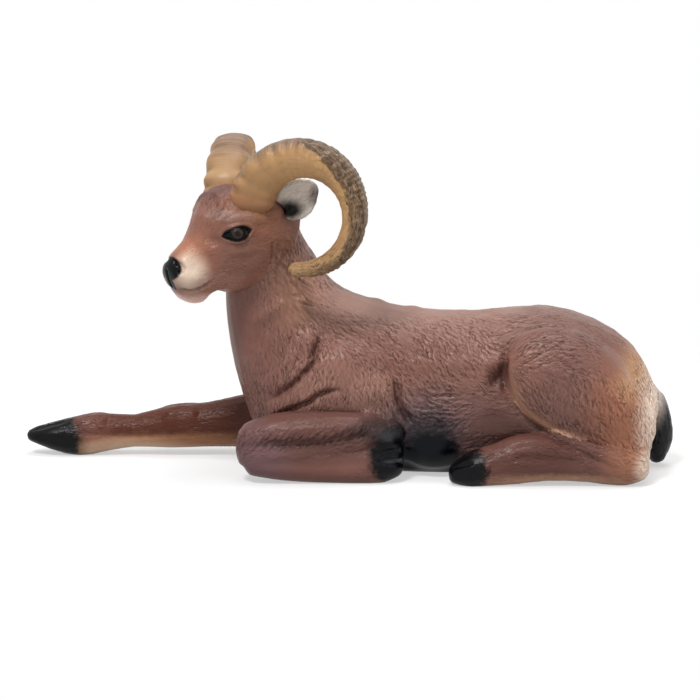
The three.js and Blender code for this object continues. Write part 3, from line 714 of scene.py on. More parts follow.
torsoLook = {
    "voxel": 0.26, "rounds": 40, "grow": 0.16,
    "combs": [
        (0, 17.5, -35), (6, 17, -50), (12, 16.5, -60), (18, 16.8, -40), (24, 15.5, -35), (28, 12, -60),
        (2, 14, -45), (6, 14, -55), (10, 13.5, -62), (14, 13, -65), (2, 11, -60), (6, 11, -58),
        (10, 11, -55), (14, 10.5, -50), (3, 8.5, -70), (6, 8.5, -50), (9, 8.5, -28), (12, 8.5, 0),
        (14.5, 9, -8), (7, 6.5, -20), (9.5, 6.5, 15), (12, 6.3, 42), (14.5, 7, 15), (16, 6.5, 0),
        (-4, 22, -60), (-3, 19, -50), (-6, 20, -65), (-8, 18, -78), (-10, 16, -95), (-10, 12, -92),
        (-8, 10, -85), (-6, 14, -75), (-3, 15, -60), (-4, 9.5, -115), (-1.5, 10.5, -105), (1, 9.5, -100),
        (-2, 8.3, -95), (2, 7.3, -110), (3.5, 9, -85), (17.5, 14, 60), (18.5, 15, 40), (20.5, 15.6, 10),
        (23, 15, -20), (18, 12.5, 50), (20, 13, 15), (22, 12.5, -20), (25, 13.5, -40), (18, 11, -70),
        (20, 10, -60), (21, 8.5, -85), (23.5, 8, -85), (25.5, 9, -70), (27.5, 10.5, -70), (29, 9, -80),
        (26.5, 5.5, -60), (24, 5.8, -70),
    ],
    "spread": 1.5,
    "comb": dict(gap=0.7, length=0.95, wide=0.1, deep=0.09, sway=16, bend=0.9, lip=0.45, clump=1.7),
    "ruff": dict(gap=0.8, length=2.1, wide=0.14, deep=0.3, sway=18, bend=1.4, lip=0.8, clump=3.0),
    "whorl": dict(gap=0.5, length=1.5, wide=0.12, deep=0.24, sway=10, bend=1.1, lip=0.9, clump=3.0),
    "thighFur": dict(gap=0.6, length=1.5, wide=0.1, deep=0.13, sway=12, bend=1.3, lip=0.8, clump=2.5),
    # fur patches: middle, reach, steepness of the edge
    "belly": ((8.4, 7.4, 2.2), (4.0, 7, 3.7), 3.0),
    "neckRuff": ((1.5, 4.6, -2.4), (3.2, 3.2, 5.0), 1.8),
    "lowFlank": ((9.4, 7.6, 8.0), (4.8, 5, 2.8), 1.6),
    "haunch": ((22.0, 8.0, 9.5), (7.0, 5, 7.0), 1.5),
    # calmer fur: middle, reach, share that stays
    "calm": [
        ((-11.0, 0, 14.8), (5.6, 12, 8.5), 0.05),
        ((8.4, 0, 1.8), (4.4, 30, 4.4), 0.0),
        ((15.3, 0, 6.0), (4, 30, 2.4), 0.15),
        ((10, 0, 17.6), (16, 5, 1.6), 0.55),
        ((25, 0, 15.2), (6, 6, 3), 0.45),
        ((27, 0, 12), (3, 30, 2.5), 0.4),
        ((15.8, 0, 10.6), (1.4, 30, 2.4), 0.2),
        ((8.5, 0, 17.2), (22, 8, 1.7), 0.15),
        ((5.0, 0, 17.0), (9, 9, 2.6), 0.35),
    ],
    # folds: line on the side view, rise on its left, cut on its right, their widths, painted shade in the
    # cut
    "folds": [
        ([(-8.4, 8.1), (-7.6, 8.8), (-6.4, 9.7), (-5.1, 10.8), (-4.0, 11.9), (-3.6, 12.7), (-3.35, 13.9),
          (-2.9, 15.0), (-2.2, 16.2)], 0.42, 0.6, 1.0, 0.36, 0.75),
        ([(-8.0, 6.7), (-6.9, 7.05), (-5.3, 7.85), (-4.0, 8.3), (-3.2, 8.95), (-2.2, 9.45), (-1.2, 9.6),
          (0.3, 9.5)], 0.25, 0.65, 0.8, 0.34, 0.8),
    ],
    "elbow": ([(6.6, 5.4), (5.9, 6.3), (5.2, 7.3), (4.9, 8.2), (4.75, 9.8), (4.3, 11.2)],
              0.35, 0.8, 1.2, 0.4, 0.85),
    "foldTaper": 0.3,
    # welts and hollows: line, width, height
    "welts": [
        ([(-3.4, 15.6), (-4.9, 13.4), (-6.2, 11.9), (-7.5, 10.6), (-8.3, 9.4)], 0.7, 0.35),
        ([(-5.9, 18.5), (-7.6, 17.5), (-9.8, 16.2)], 0.6, 0.25),
        ([(-6.6, 16.9), (-8.4, 15.2), (-9.6, 13.8)], 0.7, -0.2),
        ([(-8.7, 13.6), (-8.4, 12.4), (-8.0, 11.2)], 0.35, 0.15),
        ([(-9.9, 13.0), (-9.4, 11.4), (-8.8, 10.0)], 0.4, 0.15),
    ],
    # folds of skin in front of the thigh: line, width, height, painted shade
    "pocket": [
        ([(16.0, 12.7), (15.75, 11.6), (15.6, 10.6), (15.8, 9.0)], 0.35, -0.35, "crease", 0.85),
        ([(15.7, 12.1), (15.3, 11.2), (15.0, 10.7), (14.3, 10.0)], 0.35, -0.2, "crease", 0.55),
    ],
    # swells on both flanks: middle, reach, height, painted shade
    "swells": [
        ((15.0, 7.6, 10.4), (1.5, 4, 1.6), -0.6),  # hollow in front of the thigh
        ((14.8, 7.5, 6.4), (2.6, 4, 1.7), -0.4),  # hollow above the hoof
        ((9.3, 7.2, 7.0), (3.2, 5, 2.6), 0.4),  # soft flank
        ((8.6, 7.2, 1.7), (3.4, 4, 3.4), 0.9),  # round of the belly
        ((5.8, 7.4, 0.6), (2.4, 4, 1.6), -0.9),  # belly clear of the table behind the hoof
        hockNick,
        ((31.2, 4.5, 6.8), (2.0, 4, 2.0), 0.3),  # cushion beside the tail
        ((2.4, 7.4, 9.2), (2.2, 4, 2.2), 0.35),  # elbow
        ((4.4, 7.4, 11.5), (1.6, 4, 1.2), -0.2, "crease", 0.2),  # hollow behind the shoulder, with painted shade
        ((-2.0, 7.0, 12.4), (3.0, 4, 2.4), 0.25),  # shoulder
    ],
    "spine": [(3.2, 0.18), (6.8, 0.2), (12.0, 0.12), (15.0, 0.14), (19.0, 0.12)],  # knuckles: x, height
    "thigh": [
        (22.4, 15.4), (21.2, 15.8), (20.05, 16.05), (18.7, 16.0), (17.6, 15.6), (16.8, 14.8), (16.25, 13.6),
        (16.0, 12.2), (16.05, 10.9), (16.3, 9.6), (16.75, 8.2), (17.6, 7.1), (18.8, 6.2), (21.2, 4.6),
        (23.6, 3.3), (26.2, 2.0),
    ],
    "thighEdge": (0.32, 0.32, 1.6, 0.45, 0.1, 0.14),  # rise, cut, their widths, painted shade, taper
    "paint": "80594e", "washShade": "3a1f19", "settledWashShade": 0.6, "dryBrushHighlight": 0.42, "cloudy": 0.35, "lock": "b08a68",
    # rim: the painted highlight along the thigh's lower edge
    "rough": 0.4, "grain": 5.0, "grainBump": 0.25, "hair": 0.95, "lined": 0.85, "rim": "c2947a",
    "varnish": 0.2, "glossyRough": 0.32,
    "spots": [
        dict(at=(9, 0, 19.5), size=(24, 8, 4.2), soft=0.55, much=0.75, paint="9a7c71"),
        dict(at=(7.0, 0, 12.0), size=(6, 30, 2.6), soft=0.7, much=0.4, paint="6a4439"),
        dict(at=(-11.0, -1, 14), size=(5.5, 10, 9), soft=0.45, much=0.85, paint="785249"),
        dict(at=(9, 0, 5), size=(11, 30, 4.2), soft=0.5, much=0.65, paint="695353"),
        # painted shade in the pocket in front of the thigh
        dict(at=(15.1, 0, 10.2), size=(1.1, 30, 1.7), soft=0.6, much=0.85, paint="4a241b"),
        dict(at=(13.5, 0, 7.2), size=(3.2, 30, 2.4), soft=0.6, much=0.5, paint="6f4a42"),
        dict(at=(21.5, 0, 9.5), size=(4.8, 30, 4.8), soft=0.7, much=0.55, paint="674743"),
        dict(at=(28.0, 0, 7.5), size=(4.0, 30, 6.5), soft=0.55, much=0.75, paint="9c6448"),
        dict(at=(28.9, 0, 10.6), size=(2.2, 14, 2.2), soft=0.7, much=0.6, ragged=0.5, paint="d6aa80"),
        dict(at=(31.6, 0, 6.0), size=(2.9, 16, 4.4), soft=0.45, much=0.95, ragged=0.5, paint="f0d6c2"),
        dict(at=(-5.4, -5.5, 19.4), size=(2.8, 3.4, 3.4), soft=0.7, much=0.6, ragged=1.0, paint="8c624c"),
        dict(at=(4.2, 0, 6.3), size=(3.0, 30, 1.2), soft=0.6, much=0.65, ragged=0.9, paint="2c2424"),
        dict(at=(15.8, 0, 5.0), size=(3.6, 30, 1.5), soft=0.7, much=0.75, paint="40261e"),
        dict(at=(-2.7, 0, 10.9), size=(3.2, 30, 2.6), soft=0.7, much=0.6, paint="8f675b"),
        dict(at=(24.5, 0, 16.2), size=(6.0, 12, 3.0), soft=0.7, much=0.5, paint="7c5f56"),
        dict(at=(25.8, 0, 13.4), size=(3.4, 30, 2.4), soft=0.7, much=0.6, paint="6e4d45"),
        dict(at=(24.4, 0, 6.2), size=(2.6, 30, 2.2), soft=0.7, much=0.5, paint="6d4638"),
        dict(at=(2.3, 0, 9.2), size=(2.6, 30, 2.2), soft=0.7, much=0.6, paint="9a7264"),
        dict(at=(-1.0, 0, 19.0), size=(4.0, 9, 3.0), soft=0.7, much=0.25, paint="76554a"),
        dict(at=(-3.6, -4, 19.6), size=(2.0, 5, 1.6), soft=0.7, much=0.6, paint="9a7264"),
        dict(at=(20.0, 0, 14.6), size=(4.4, 30, 2.0), soft=0.7, much=0.5, paint="6b4a41"),
        dict(at=(17.4, 0, 11.0), size=(1.4, 30, 3.0), soft=0.7, much=0.5, paint="8d6152"),
        dict(at=(8.0, 0, 5.4), size=(3.4, 30, 3.0), soft=0.6, much=0.55, ragged=0.6, paint="5b4a50"),
        dict(at=(8.2, 0, 4.0), size=(3.3, 30, 3.0), soft=0.4, much=0.9, ragged=1.2, paint="201d24"),
        dict(at=(8.4, 0, 1.2), size=(3.4, 30, 4.0), soft=0.2, ragged=0.6, paint="02050d", glossy=True),
    ],
}


def makeTorso():
    look, clay = torsoLook, clays["torso"]
    place = clay["points"].copy()
    both, flat = mirrored(place), asSeen(place)
    sides = np.clip(both[:, 1] / 2 - 0.5, 0, 1)
    for fold in look["folds"]:
        ledge(clay, flat, sides, *fold, look["foldTaper"])
    ledge(clay, flat, sides * (place[:, 1] < 0), *look["elbow"], look["foldTaper"])  # behind the folded leg, with painted shade in the cut
    for welt in look["welts"]:
        drawLine(clay, flat, sides, *welt)
    for bulge in look["swells"]:
        swell(clay, both, *bulge)
    outer = np.clip((both[:, 1] - 5.5) / 1.2, 0, 1)
    for line in look["pocket"]:
        drawLine(clay, flat, outer, *line)
    thighRim = ledge(clay, flat, outer, look["thigh"], *look["thighEdge"])
    # painted highlight along the lower part of the thigh's edge
    clay["marks"]["rim"] = thighRim * np.clip((11.5 - place[:, 2]) / 3, 0, 1) * 0.9
    for x, high in look["spine"]:
        swell(clay, place, (x, 0, 17), (1.3, 2.2, 3), high)
    refreshNormals(clay)
    aims = flankAims(look, flat)
    belly = patch(both, *look["belly"])
    strength = calmed(place, look["calm"], 1.3)
    strength *= np.clip((place[:, 2] - 0.3) / 0.6, 0, 1) * (1 - 0.8 * thighRim)
    strength *= 1 - belly
    neckRuff = patch(mirrored(intoHead(place)), *look["neckRuff"])
    strokes = combFur(clay, look["comb"], aims, strength * (1 - 0.8 * neckRuff), 11)
    strokes += combFur(clay, look["ruff"], aims, neckRuff, 12, "lock")
    clay["marks"]["fur"] *= (1 - 0.7 * neckRuff) * (1 - belly)
    lowFlank = patch(both, *look["lowFlank"]) * (1 - belly)
    strokes += combFur(clay, look["whorl"], aims, lowFlank, 13)
    haunch = patch(both, *look["haunch"]) * (1 - 0.9 * thighRim) * strength
    strokes += combFur(clay, look["thighFur"], aims, 0.8 * haunch, 14)
    print("torso fur strokes:", strokes)
    putAway(clay, "torso", coatPaint("coat paint", look))


# head: brows, eye lids, nostrils and mouth worked into the moulding

headLook = {
    "voxel": 0.18, "rounds": 34, "grow": 0.15,
    "combs": [
        (12.5, 1.5, 120), (10.5, 4.5, 125), (9.3, 7, 110), (8.5, 5.6, 150), (7, 6, 160), (10.8, 2, 165),
        (9, 1.5, 190), (6.5, 1.5, 190), (4.5, 3.5, 180), (3, 1, 235), (2.5, -0.5, 245), (6, -1.2, 200),
        (11, -1.5, 185), (3, 5, 150),
    ],
    "spread": 1.3,
    "comb": dict(gap=0.5, length=0.8, wide=0.09, deep=0.06, sway=14, bend=0.6, lip=0.4, clump=1.5),
    "ruff": dict(gap=0.75, length=1.8, wide=0.14, deep=0.3, sway=20, bend=1.4, lip=0.8, clump=3.0),
    "cheekRuff": ((2.4, 3.6, -0.2), (2.0, 2.6, 3.2), 1.8),
    # fuller fur: middle, reach, strength added
    "fuller": [
        ((9.0, 2.0, 6.0), (2.4, 2.2, 1.6), 0.7),
        ((9.6, 0, 7.5), (2.0, 2.6, 3.0), 0.45),
        ((3, 3.4, 0), (2.6, 2.4, 3.2), 0.6),
    ],
    # swells on both sides, in the head's frame: middle, reach, height
    "swells": [
        ((9.9, 2.4, 2.9), (1.1, 1.4, 0.9), -0.3),  # tear duct
        ((8.3, 3.2, 5.3), (2.2, 1.6, 0.8), 0.32),  # brow
        ((7.6, 3.6, 1.9), (2.4, 1.6, 0.9), 0.2),  # cheekbone
        ((12.3, 2.0, -0.7), (1.4, 1.4, 1.0), 0.2),  # upper lip
        ((11.4, 1.2, -2.9), (1.5, 1.6, 0.9), 0.15),  # chin
        ((10.8, 2.2, 1.0), (1.6, 1.4, 1.3), -0.2),  # flat side of the nose
        ((8.8, 1.0, -3.0), (2.0, 2.6, 1.1), -0.6),  # throat behind the chin
        ((3.3, 3.4, 5.4), (1.5, 1.6, 1.3), 0.4),  # root of the ear
        ((5.9, 3.4, 5.2), (2.4, 1.8, 1.5), 0.45),  # root of the horn
    ],
    # mouth, nostril, jaw and four ridges of the brow: line, width, height, and paint: dark paint with
    # painted shade in the mouth, painted shade along the jaw
    "lines": [
        ([(13.4, -1.8), (12.7, -2.0), (12.0, -1.95), (11.2, -1.65), (10.4, -1.25)],
         0.15, -0.26, "crease", 0.6),
        ([(13.75, 0.95), (13.35, 0.75), (13.2, 0.35), (13.45, -0.05), (13.8, -0.1)], 0.2, -0.4),
        ([(4.3, 2.6), (4.0, 1.0), (4.1, -0.6), (4.4, -1.6)], 0.2, -0.18, "crease", 0.4),
        ([(10.2, 5.2), (9.5, 6.4), (9.1, 7.6)], 0.2, -0.16),
        ([(9.7, 5.0), (8.9, 6.0), (8.4, 7.0)], 0.2, -0.16),
        ([(9.9, 5.1), (9.2, 6.2), (8.7, 7.3)], 0.2, 0.12),
        ([(9.2, 4.9), (8.2, 5.7), (7.2, 6.0)], 0.2, -0.14),
    ],
    "lipCleft": ([(0, 0.1), (0, -0.9), (0, -1.9)], 0.16, -0.22),  # seen from the front
    "eye": {"at": (8.1, 0.0, 3.68), "tilt": -0.2, "long": 1.52, "tall": 0.8},
    "eyeBlack": "050505", "eyeIris": "45352e", "eyePupil": "1c1412",
    "paint": "845747", "washShade": "40261d", "settledWashShade": 0.5, "dryBrushHighlight": 0.25, "cloudy": 0.5, "lock": "a97e5c",
    "rough": 0.42, "grain": 6.0, "grainBump": 0.2, "hair": 0.6, "lined": 0.4, "glossyRough": 0.12,
    "spots": [],
}


def headSpot(forward, left, up, size, paintCode, **more):
    at = tuple(float(v) for v in fromHead((forward, left, up)))
    return dict(at=at, size=size, turn=-headTurn, paint=paintCode, **more)


for s in (1, -1):
    headLook["spots"] += [
        headSpot(7.4, 3.6 * s, 0.6, (3.0, 1.6, 2.0), "7f594d", soft=0.6, much=0.6),
        headSpot(8.1, 3.4 * s, 3.7, (2.2, 1.3, 1.4), "6c4a42", soft=0.6, much=0.6),
        headSpot(8.8, 2.4 * s, -1.8, (2.4, 2.0, 1.4), "a07566", soft=0.7, much=0.65),
        headSpot(5.4, 3.8 * s, 5.0, (2.6, 1.6, 2.0), "8c5d47", soft=0.6, much=0.7),
        headSpot(5.9, 3.0 * s, 5.9, (2.2, 1.8, 1.0), "946b4c", soft=0.6, much=0.75, ragged=0.5),
        headSpot(11.8, 1.3 * s, 2.2, (1.3, 1.6, 1.3), "a56c52", soft=0.7, much=0.6),
        headSpot(12.1, 1.5 * s, 1.3, (1.1, 1.5, 0.9), "c79a7c", soft=0.7, much=0.35),
        headSpot(9.3, 1.7 * s, 5.5, (1.1, 1.6, 0.7), "a88d86", soft=0.6, much=0.35, ragged=1.6),
        headSpot(8.2, 3.3 * s, 5.4, (1.8, 1.2, 0.5), "a0847c", soft=0.6, much=0.45, ragged=1.3),
        headSpot(12.6, 1.9 * s, -0.2, (1.5, 1.5, 1.5), "dac4b0", soft=0.8, much=0.95),
        headSpot(2.4, 3.6 * s, 0.0, (2.2, 2.4, 3.2), "8a6048", soft=0.7, much=0.75, ragged=1.0),
    ]
headLook["spots"] += [
    headSpot(8.7, 0, 8.2, (2.2, 2.6, 1.7), "62423d", soft=0.5, much=0.85),
    headSpot(11.0, 0, -3.1, (2.1, 2.3, 0.9), "ecc4b6", soft=0.5, much=0.95),
    headSpot(14.0, 0, 0.2, (1.15, 2.1, 1.25), "07080b", soft=0.1, ragged=0.12, glossy=True),
    headSpot(13.7, 0, -1.4, (0.8, 0.8, 0.95), "07080b", soft=0.12, ragged=0.12, glossy=True),
]


def eyePaint(tree, colour, shine):
    look, eye = headLook, headLook["eye"]
    made = useGroup(tree, almondEye, {
        "Centre": eye["at"],
        "Tilt": eye["tilt"],
        "Half length": eye["long"],
        "Half height": eye["tall"],
    })
    colour = over(tree, made["Lids"], colour, paint(look["eyeBlack"]))
    colour = over(tree, times(tree, made["Iris"], 0.6), colour, paint(look["eyeIris"]))
    colour = over(tree, made["Pupil"], colour, paint(look["eyePupil"]))
    return colour, math2(tree, "MAXIMUM", shine, made["Lids"])


def almond(local, eye):
    # below zero inside the lids, in millimetres
    u, v = local[:, 0] - eye["at"][0], local[:, 2] - eye["at"][2]
    c, s = math.cos(eye["tilt"]), math.sin(eye["tilt"])
    u, v = u * c + v * s, v * c - u * s
    radius = (eye["long"] ** 2 + eye["tall"] ** 2) / (2 * eye["tall"])
    return np.hypot(u, np.abs(v) + radius - eye["tall"]) - radius


def makeHead():
    look, clay = headLook, clays["head"]
    local = intoHead(clay["points"])
    both, flat = mirrored(local), local[:, [0, 2]]
    side = np.clip(both[:, 1] / 0.6 - 0.6, 0, 1)
    for bulge in look["swells"]:
        swell(clay, both, *bulge)
    for line in look["lines"]:
        drawLine(clay, flat, side, *line)
    front = np.clip((local[:, 0] - 12.4) / 0.5, 0, 1)
    drawLine(clay, local[:, [1, 2]], front, *look["lipCleft"])
    gap = almond(local, look["eye"])
    onEye = np.clip((both[:, 1] - 2.0) / 0.5, 0, 1)
    ball = -np.clip(gap, -0.8, 0) / 0.8
    lid = np.exp(-(((gap - 0.14) / 0.16) ** 2)) * 0.06 - np.exp(-(((gap + 0.08) / 0.1) ** 2)) * 0.12
    lift = (lid + 0.12 * ball ** 0.5 - 0.1 * (gap < 0)) * onEye
    clay["points"] = clay["points"] + clay["normals"] * lift[:, None]
    refreshNormals(clay)
    aim = combedFlow(look, flat)
    aims = aim[:, :1] * headAxes[0] + aim[:, 1:] * headAxes[2]
    strength = np.full(len(flat), 0.45)
    for at, size, add in look["fuller"]:
        strength += add * spotFall(both, at, size)
    strength *= np.clip((gap - 0.25) / 0.3, 0, 1) * onEye + (1 - onEye)
    strength *= np.clip((13.0 - local[:, 0]) / 1.2, 0.0, 1)
    strokes = combFur(clay, look["comb"], aims, np.clip(strength, 0, 1), 21)
    strokes += combFur(clay, look["ruff"], aims, patch(both, *look["cheekRuff"]), 22, "lock")
    print("head fur strokes:", strokes)
    putAway(clay, "head", coatPaint("face paint", look, eyePaint))


# legs: knuckles, tendons and cloven hooves

legBase = {
    "voxel": 0.22, "rounds": 26, "grow": 0.16, "spread": 1.6,
    "comb": dict(gap=0.8, length=0.95, wide=0.1, deep=0.06, sway=14, bend=0.8, lip=0.3, clump=1.6),
    "paint": "704d46", "washShade": "311a15", "settledWashShade": 0.55, "dryBrushHighlight": 0.12, "cloudy": 0.35, "varnish": 0.14,
    "rough": 0.4, "grain": 5.0, "grainBump": 0.3, "hair": 0.85, "lined": 0.55, "glossyRough": 0.3,
}
# lines: path on the side view, width, height, painted shade; calm: middle, reach, share of the fur that
# stays
legs = {
    "left_foreleg": {
        "combs": [
            (-9, 5.5, 20), (-5, 6.3, 12), (0, 6.6, -5), (-9, 4.2, 45), (-5, 4.5, 45), (-1, 4.8, 40),
            (2, 5.2, 35), (-8, 2.5, 5), (-3, 2.4, 0), (2, 2.2, 0),
        ],
        "lines": [
            ([(3.6, 2.2), (4.3, 2.2), (5.0, 2.05), (6.0, 2.0)], 0.28, -0.22),
            ([(2.6, 3.0), (3.4, 3.0), (4.3, 3.2), (5.4, 3.4)], 0.35, -0.3),
            ([(-9.2, 2.5), (-8.4, 2.9), (-7.4, 2.5), (-6.4, 2.8), (-5.2, 2.5), (-4.0, 2.8), (-2.6, 2.5),
              (-1.2, 2.9), (0.2, 2.8)], 0.2, 0.05),
            ([(-9.4, 1.8), (-6.5, 1.9), (-3.0, 1.7), (0.5, 1.9), (2.0, 2.0)], 0.4, -0.08),
        ],
        "knobs": [((4.1, 4.2), (1.5, 0.9), 0.4), ((4.4, 1.3), (1.6, 1.0), 0.15)],
        "shin": [(2.8, 4.8), (1.6, 4.4), (0.5, 4.1), (-1.8, 3.8), (-4.1, 3.55), (-7.0, 3.4), (-10.2, 3.35)],
        "fringe": dict(gap=0.5, length=1.5, wide=0.12, deep=0.24, sway=7, bend=0.6, lip=0.7, clump=4.0),
        "calm": [((-4, 1.8), (9, 1.9), 0.06), ((4.9, 2.6), (2.8, 3.2), 0.0), ((-4, 6.3), (9, 1.3), 0.3)],
        "spots": [
            dict(at=(-3, -8, 6.0), size=(7, 8, 1.6), soft=0.6, much=0.6, paint="603f38"),
            dict(at=(-1, -8, 1.0), size=(6, 8, 1.4), soft=0.6, much=0.5, paint="7c544b"),
            dict(at=(-9, -8, 2.6), size=(3, 8, 3), soft=0.6, much=0.6, paint="775a61"),
            dict(at=(3.6, -8, 5.6), size=(3.4, 8, 1.2), soft=0.5, much=0.8, ragged=0.8, paint="221d1f"),
            dict(at=(5.4, -8, 2.8), size=(3.3, 8, 3.2), soft=0.16, ragged=0.4, paint="040508", glossy=True),
            # painted highlights on the hoof: the top of the dewclaw and a line on the lower lobe
            dict(at=(4.1, -9.8, 5.0), size=(1.3, 3, 0.5), soft=0.6, much=0.55, ragged=0.6, paint="3c3b3e"),
            dict(at=(4.8, -9.8, 2.4), size=(1.0, 3, 0.2), soft=0.6, much=0.6, ragged=0.8, paint="4c4b50"),
        ],
    },
    "right_foreleg": {
        "paint": "552c1f",
        "combs": [(-30, 2.5, 0), (-20, 4, 5), (-20, 2, -4), (-12, 5, 8), (-12, 2.5, -5), (-4, 4, 0)],
        "lines": [
            ([(-33.5, 2.6), (-32.3, 2.9), (-31.0, 3.3), (-29.6, 3.6)], 0.2, -0.16),
            ([(-32.6, 2.0), (-31.0, 1.9), (-29.6, 1.5)], 0.2, -0.12),
            ([(-28.6, 2.6), (-25, 2.4), (-21, 2.3), (-17, 2.6)], 0.35, -0.16, "crease", 0.25),
            ([(-28.2, 3.4), (-26.6, 3.9), (-25.2, 3.6)], 0.5, 0.18),
            ([(-19.4, 4.2), (-17.6, 4.9), (-15.6, 4.7)], 0.6, 0.2),
        ],
        "calm": [((-31, 2), (2.6, 4), 0.1), ((-22, 1.2), (12, 1.4), 0.2), ((-16, 4), (16, 4), 0.65)],
        "spots": [
            dict(at=(-16, 5.5, 0.7), size=(15, 8, 1.7), soft=0.45, much=0.85, ragged=0.4, paint="b5805c"),
            dict(at=(-23, 5.5, 0.6), size=(6.5, 8, 1.2), soft=0.5, much=0.8, paint="dab99c"),
            dict(at=(-27.6, 5.6, 3.2), size=(2.2, 8, 1.2), soft=0.6, much=0.4, paint="7c564e"),
            dict(at=(-26.4, 5.6, 2.2), size=(1.8, 8, 1.3), soft=0.6, much=0.25, paint="9a6656"),
            dict(at=(-28.4, 5.6, 1.6), size=(1.2, 8, 2.2), soft=0.6, much=0.55, paint="4a332d"),
            dict(at=(-31.9, 5.6, 1.4), size=(4.0, 8, 4.0),
                 soft=0.12, ragged=0.35, paint="08080b", glossy=True),
        ],
    },
    "left_hind_leg": {
        "combs": [(12, 3, 10), (16, 4, 20), (20, 3, 0), (26, 3, -5), (27.5, 5, -50)],
        "lines": [
            ([(10.0, 1.6), (11.2, 1.7), (12.6, 2.0)], 0.2, -0.2),
            ([(16.5, 2.6), (20, 2.4), (24, 2.2)], 0.5, -0.22, "crease", 0.25),
            ([(15.5, 4.2), (18.5, 4.4), (21.5, 4.2)], 0.5, 0.15),
        ],
        "calm": [((22, 1), (9, 1.5), 0.4), ((11.5, 1.5), (2.6, 3), 0.1), ((16.5, 4.4), (4, 1.2), 0.3)],
        "spots": [
            # painted shade on the top of the shank, under the edge of the thigh
            dict(at=(18, 0, 3.2), size=(6.5, 30, 2.0), soft=0.6, much=0.75, paint="54332b"),
            dict(at=(16.0, 0, 4.4), size=(3.4, 30, 1.0), soft=0.6, much=0.4, paint="6b473d"),
            dict(at=(21, 0, 0.4), size=(8.5, 30, 0.9), soft=0.5, much=0.85, ragged=0.7, paint="b98c6e"),
            dict(at=(29.4, 0, 3.0), size=(3.4, 30, 3.0), soft=0.6, much=0.8, paint="ab7459"),
            dict(at=(30.4, 0, 1.8), size=(1.6, 30, 2.2), soft=0.5, much=0.9, paint="ecd2bf"),
            dict(at=(11.2, 0, 1.4), size=(3.0, 30, 3.4),
                 soft=0.15, ragged=0.7, paint="06070a", glossy=True),
        ],
    },
}
legs["right_hind_leg"] = legs["left_hind_leg"]


def makeLeg(node, seed):
    look, clay = {**legBase, **legs[node]}, clays[node]
    place = clay["points"].copy()
    flat = place[:, [0, 2]] if node == "right_foreleg" else asSeen(place)
    outside = np.clip(np.abs(clay["normals"][:, 1]) * 3 - 0.3, 0, 1)
    for line in look["lines"]:
        drawLine(clay, flat, outside, *line)
    for knob in look.get("knobs", []):
        swell(clay, flat, *knob)
    if "shin" in look:
        # a fold along the shin, with painted shade in its cut
        ledge(clay, flat, outside, look["shin"], 0.25, 0.4, 0.9, 0.5, 0.6, 0.2)
    if "hind" in node:
        swell(clay, mirrored(place), *hockNick)
        # the thigh's lower edge carried onto the hind leg, with painted shade in its cut
        ledge(clay, flat, outside, torsoLook["thigh"][-5:] + [(28.0, 1.2)], 0.2, 0.3, 1.4, 0.45, 0.2)
    refreshNormals(clay)
    aims = flankAims(look, flat)
    strength = np.clip((place[:, 2] - 0.25) / 0.5, 0, 1) * calmed(flat, look["calm"], 1.7)
    if "shin" in look:
        shin = np.array(look["shin"])[::-1]
        aboveShin = flat[:, 1] - np.interp(flat[:, 0], shin[:, 0], shin[:, 1])
        band = np.exp(-(((aboveShin - 0.75) / 0.6) ** 2))
        band = band * np.clip((2.6 - flat[:, 0]) / 1.5, 0, 1) * outside
        strength *= 1 - band
        slant = np.tile((0.64, 0.0, 0.77), (len(flat), 1))
        combFur(clay, look["fringe"], slant, band, seed + 10)
        # painted shade under the fringe of the forearm
        clay["marks"]["crease"] = np.maximum(clay["marks"]["crease"], 0.35 * band)
    strokes = combFur(clay, look["comb"], aims, strength, seed)
    print(node, "fur strokes:", strokes)
    putAway(clay, node, coatPaint(node.replace("_", " ") + " paint", look))


# horns: a keeled curl with growth rings that swell towards the keels

hornLook = {
    "base": (5.75, 2.5, 6.8), "curl": 5.6, "start": 168.0, "sweep": 271.0, "flare": 51.0, "drift": 0.8,
    "drop": 0.7, "root": 2.27, "tip": 0.62, "waist": 0.13, "keel": 0.07, "rings": 20, "sunk": 0.06,
    "steps": 400, "sides": 96, "knob": 0.26, "faceRing": 0.035, "rimRing": 0.09, "grit": 0.06,
    "farNotch": 0.35,  # the far horn's notches, as a share of the near one's
    "ochre": "a98259", "honey": "bd9466", "cream": "ab8a66", "grey": "816a5d", "brown": "544132",
    "dark": "281e17", "fleck": "a38b72", "skin": "9a6f4f", "tipOchre": "8c6a4a", "washShade": "33241a",
    "settledWashShade": 0.8, "dryBrushHighlight": 0.3, "cloudy": 0.35, "varnish": 0.15, "rough": 0.42, "grain": 5.0,
    "bump": 0.4,
}


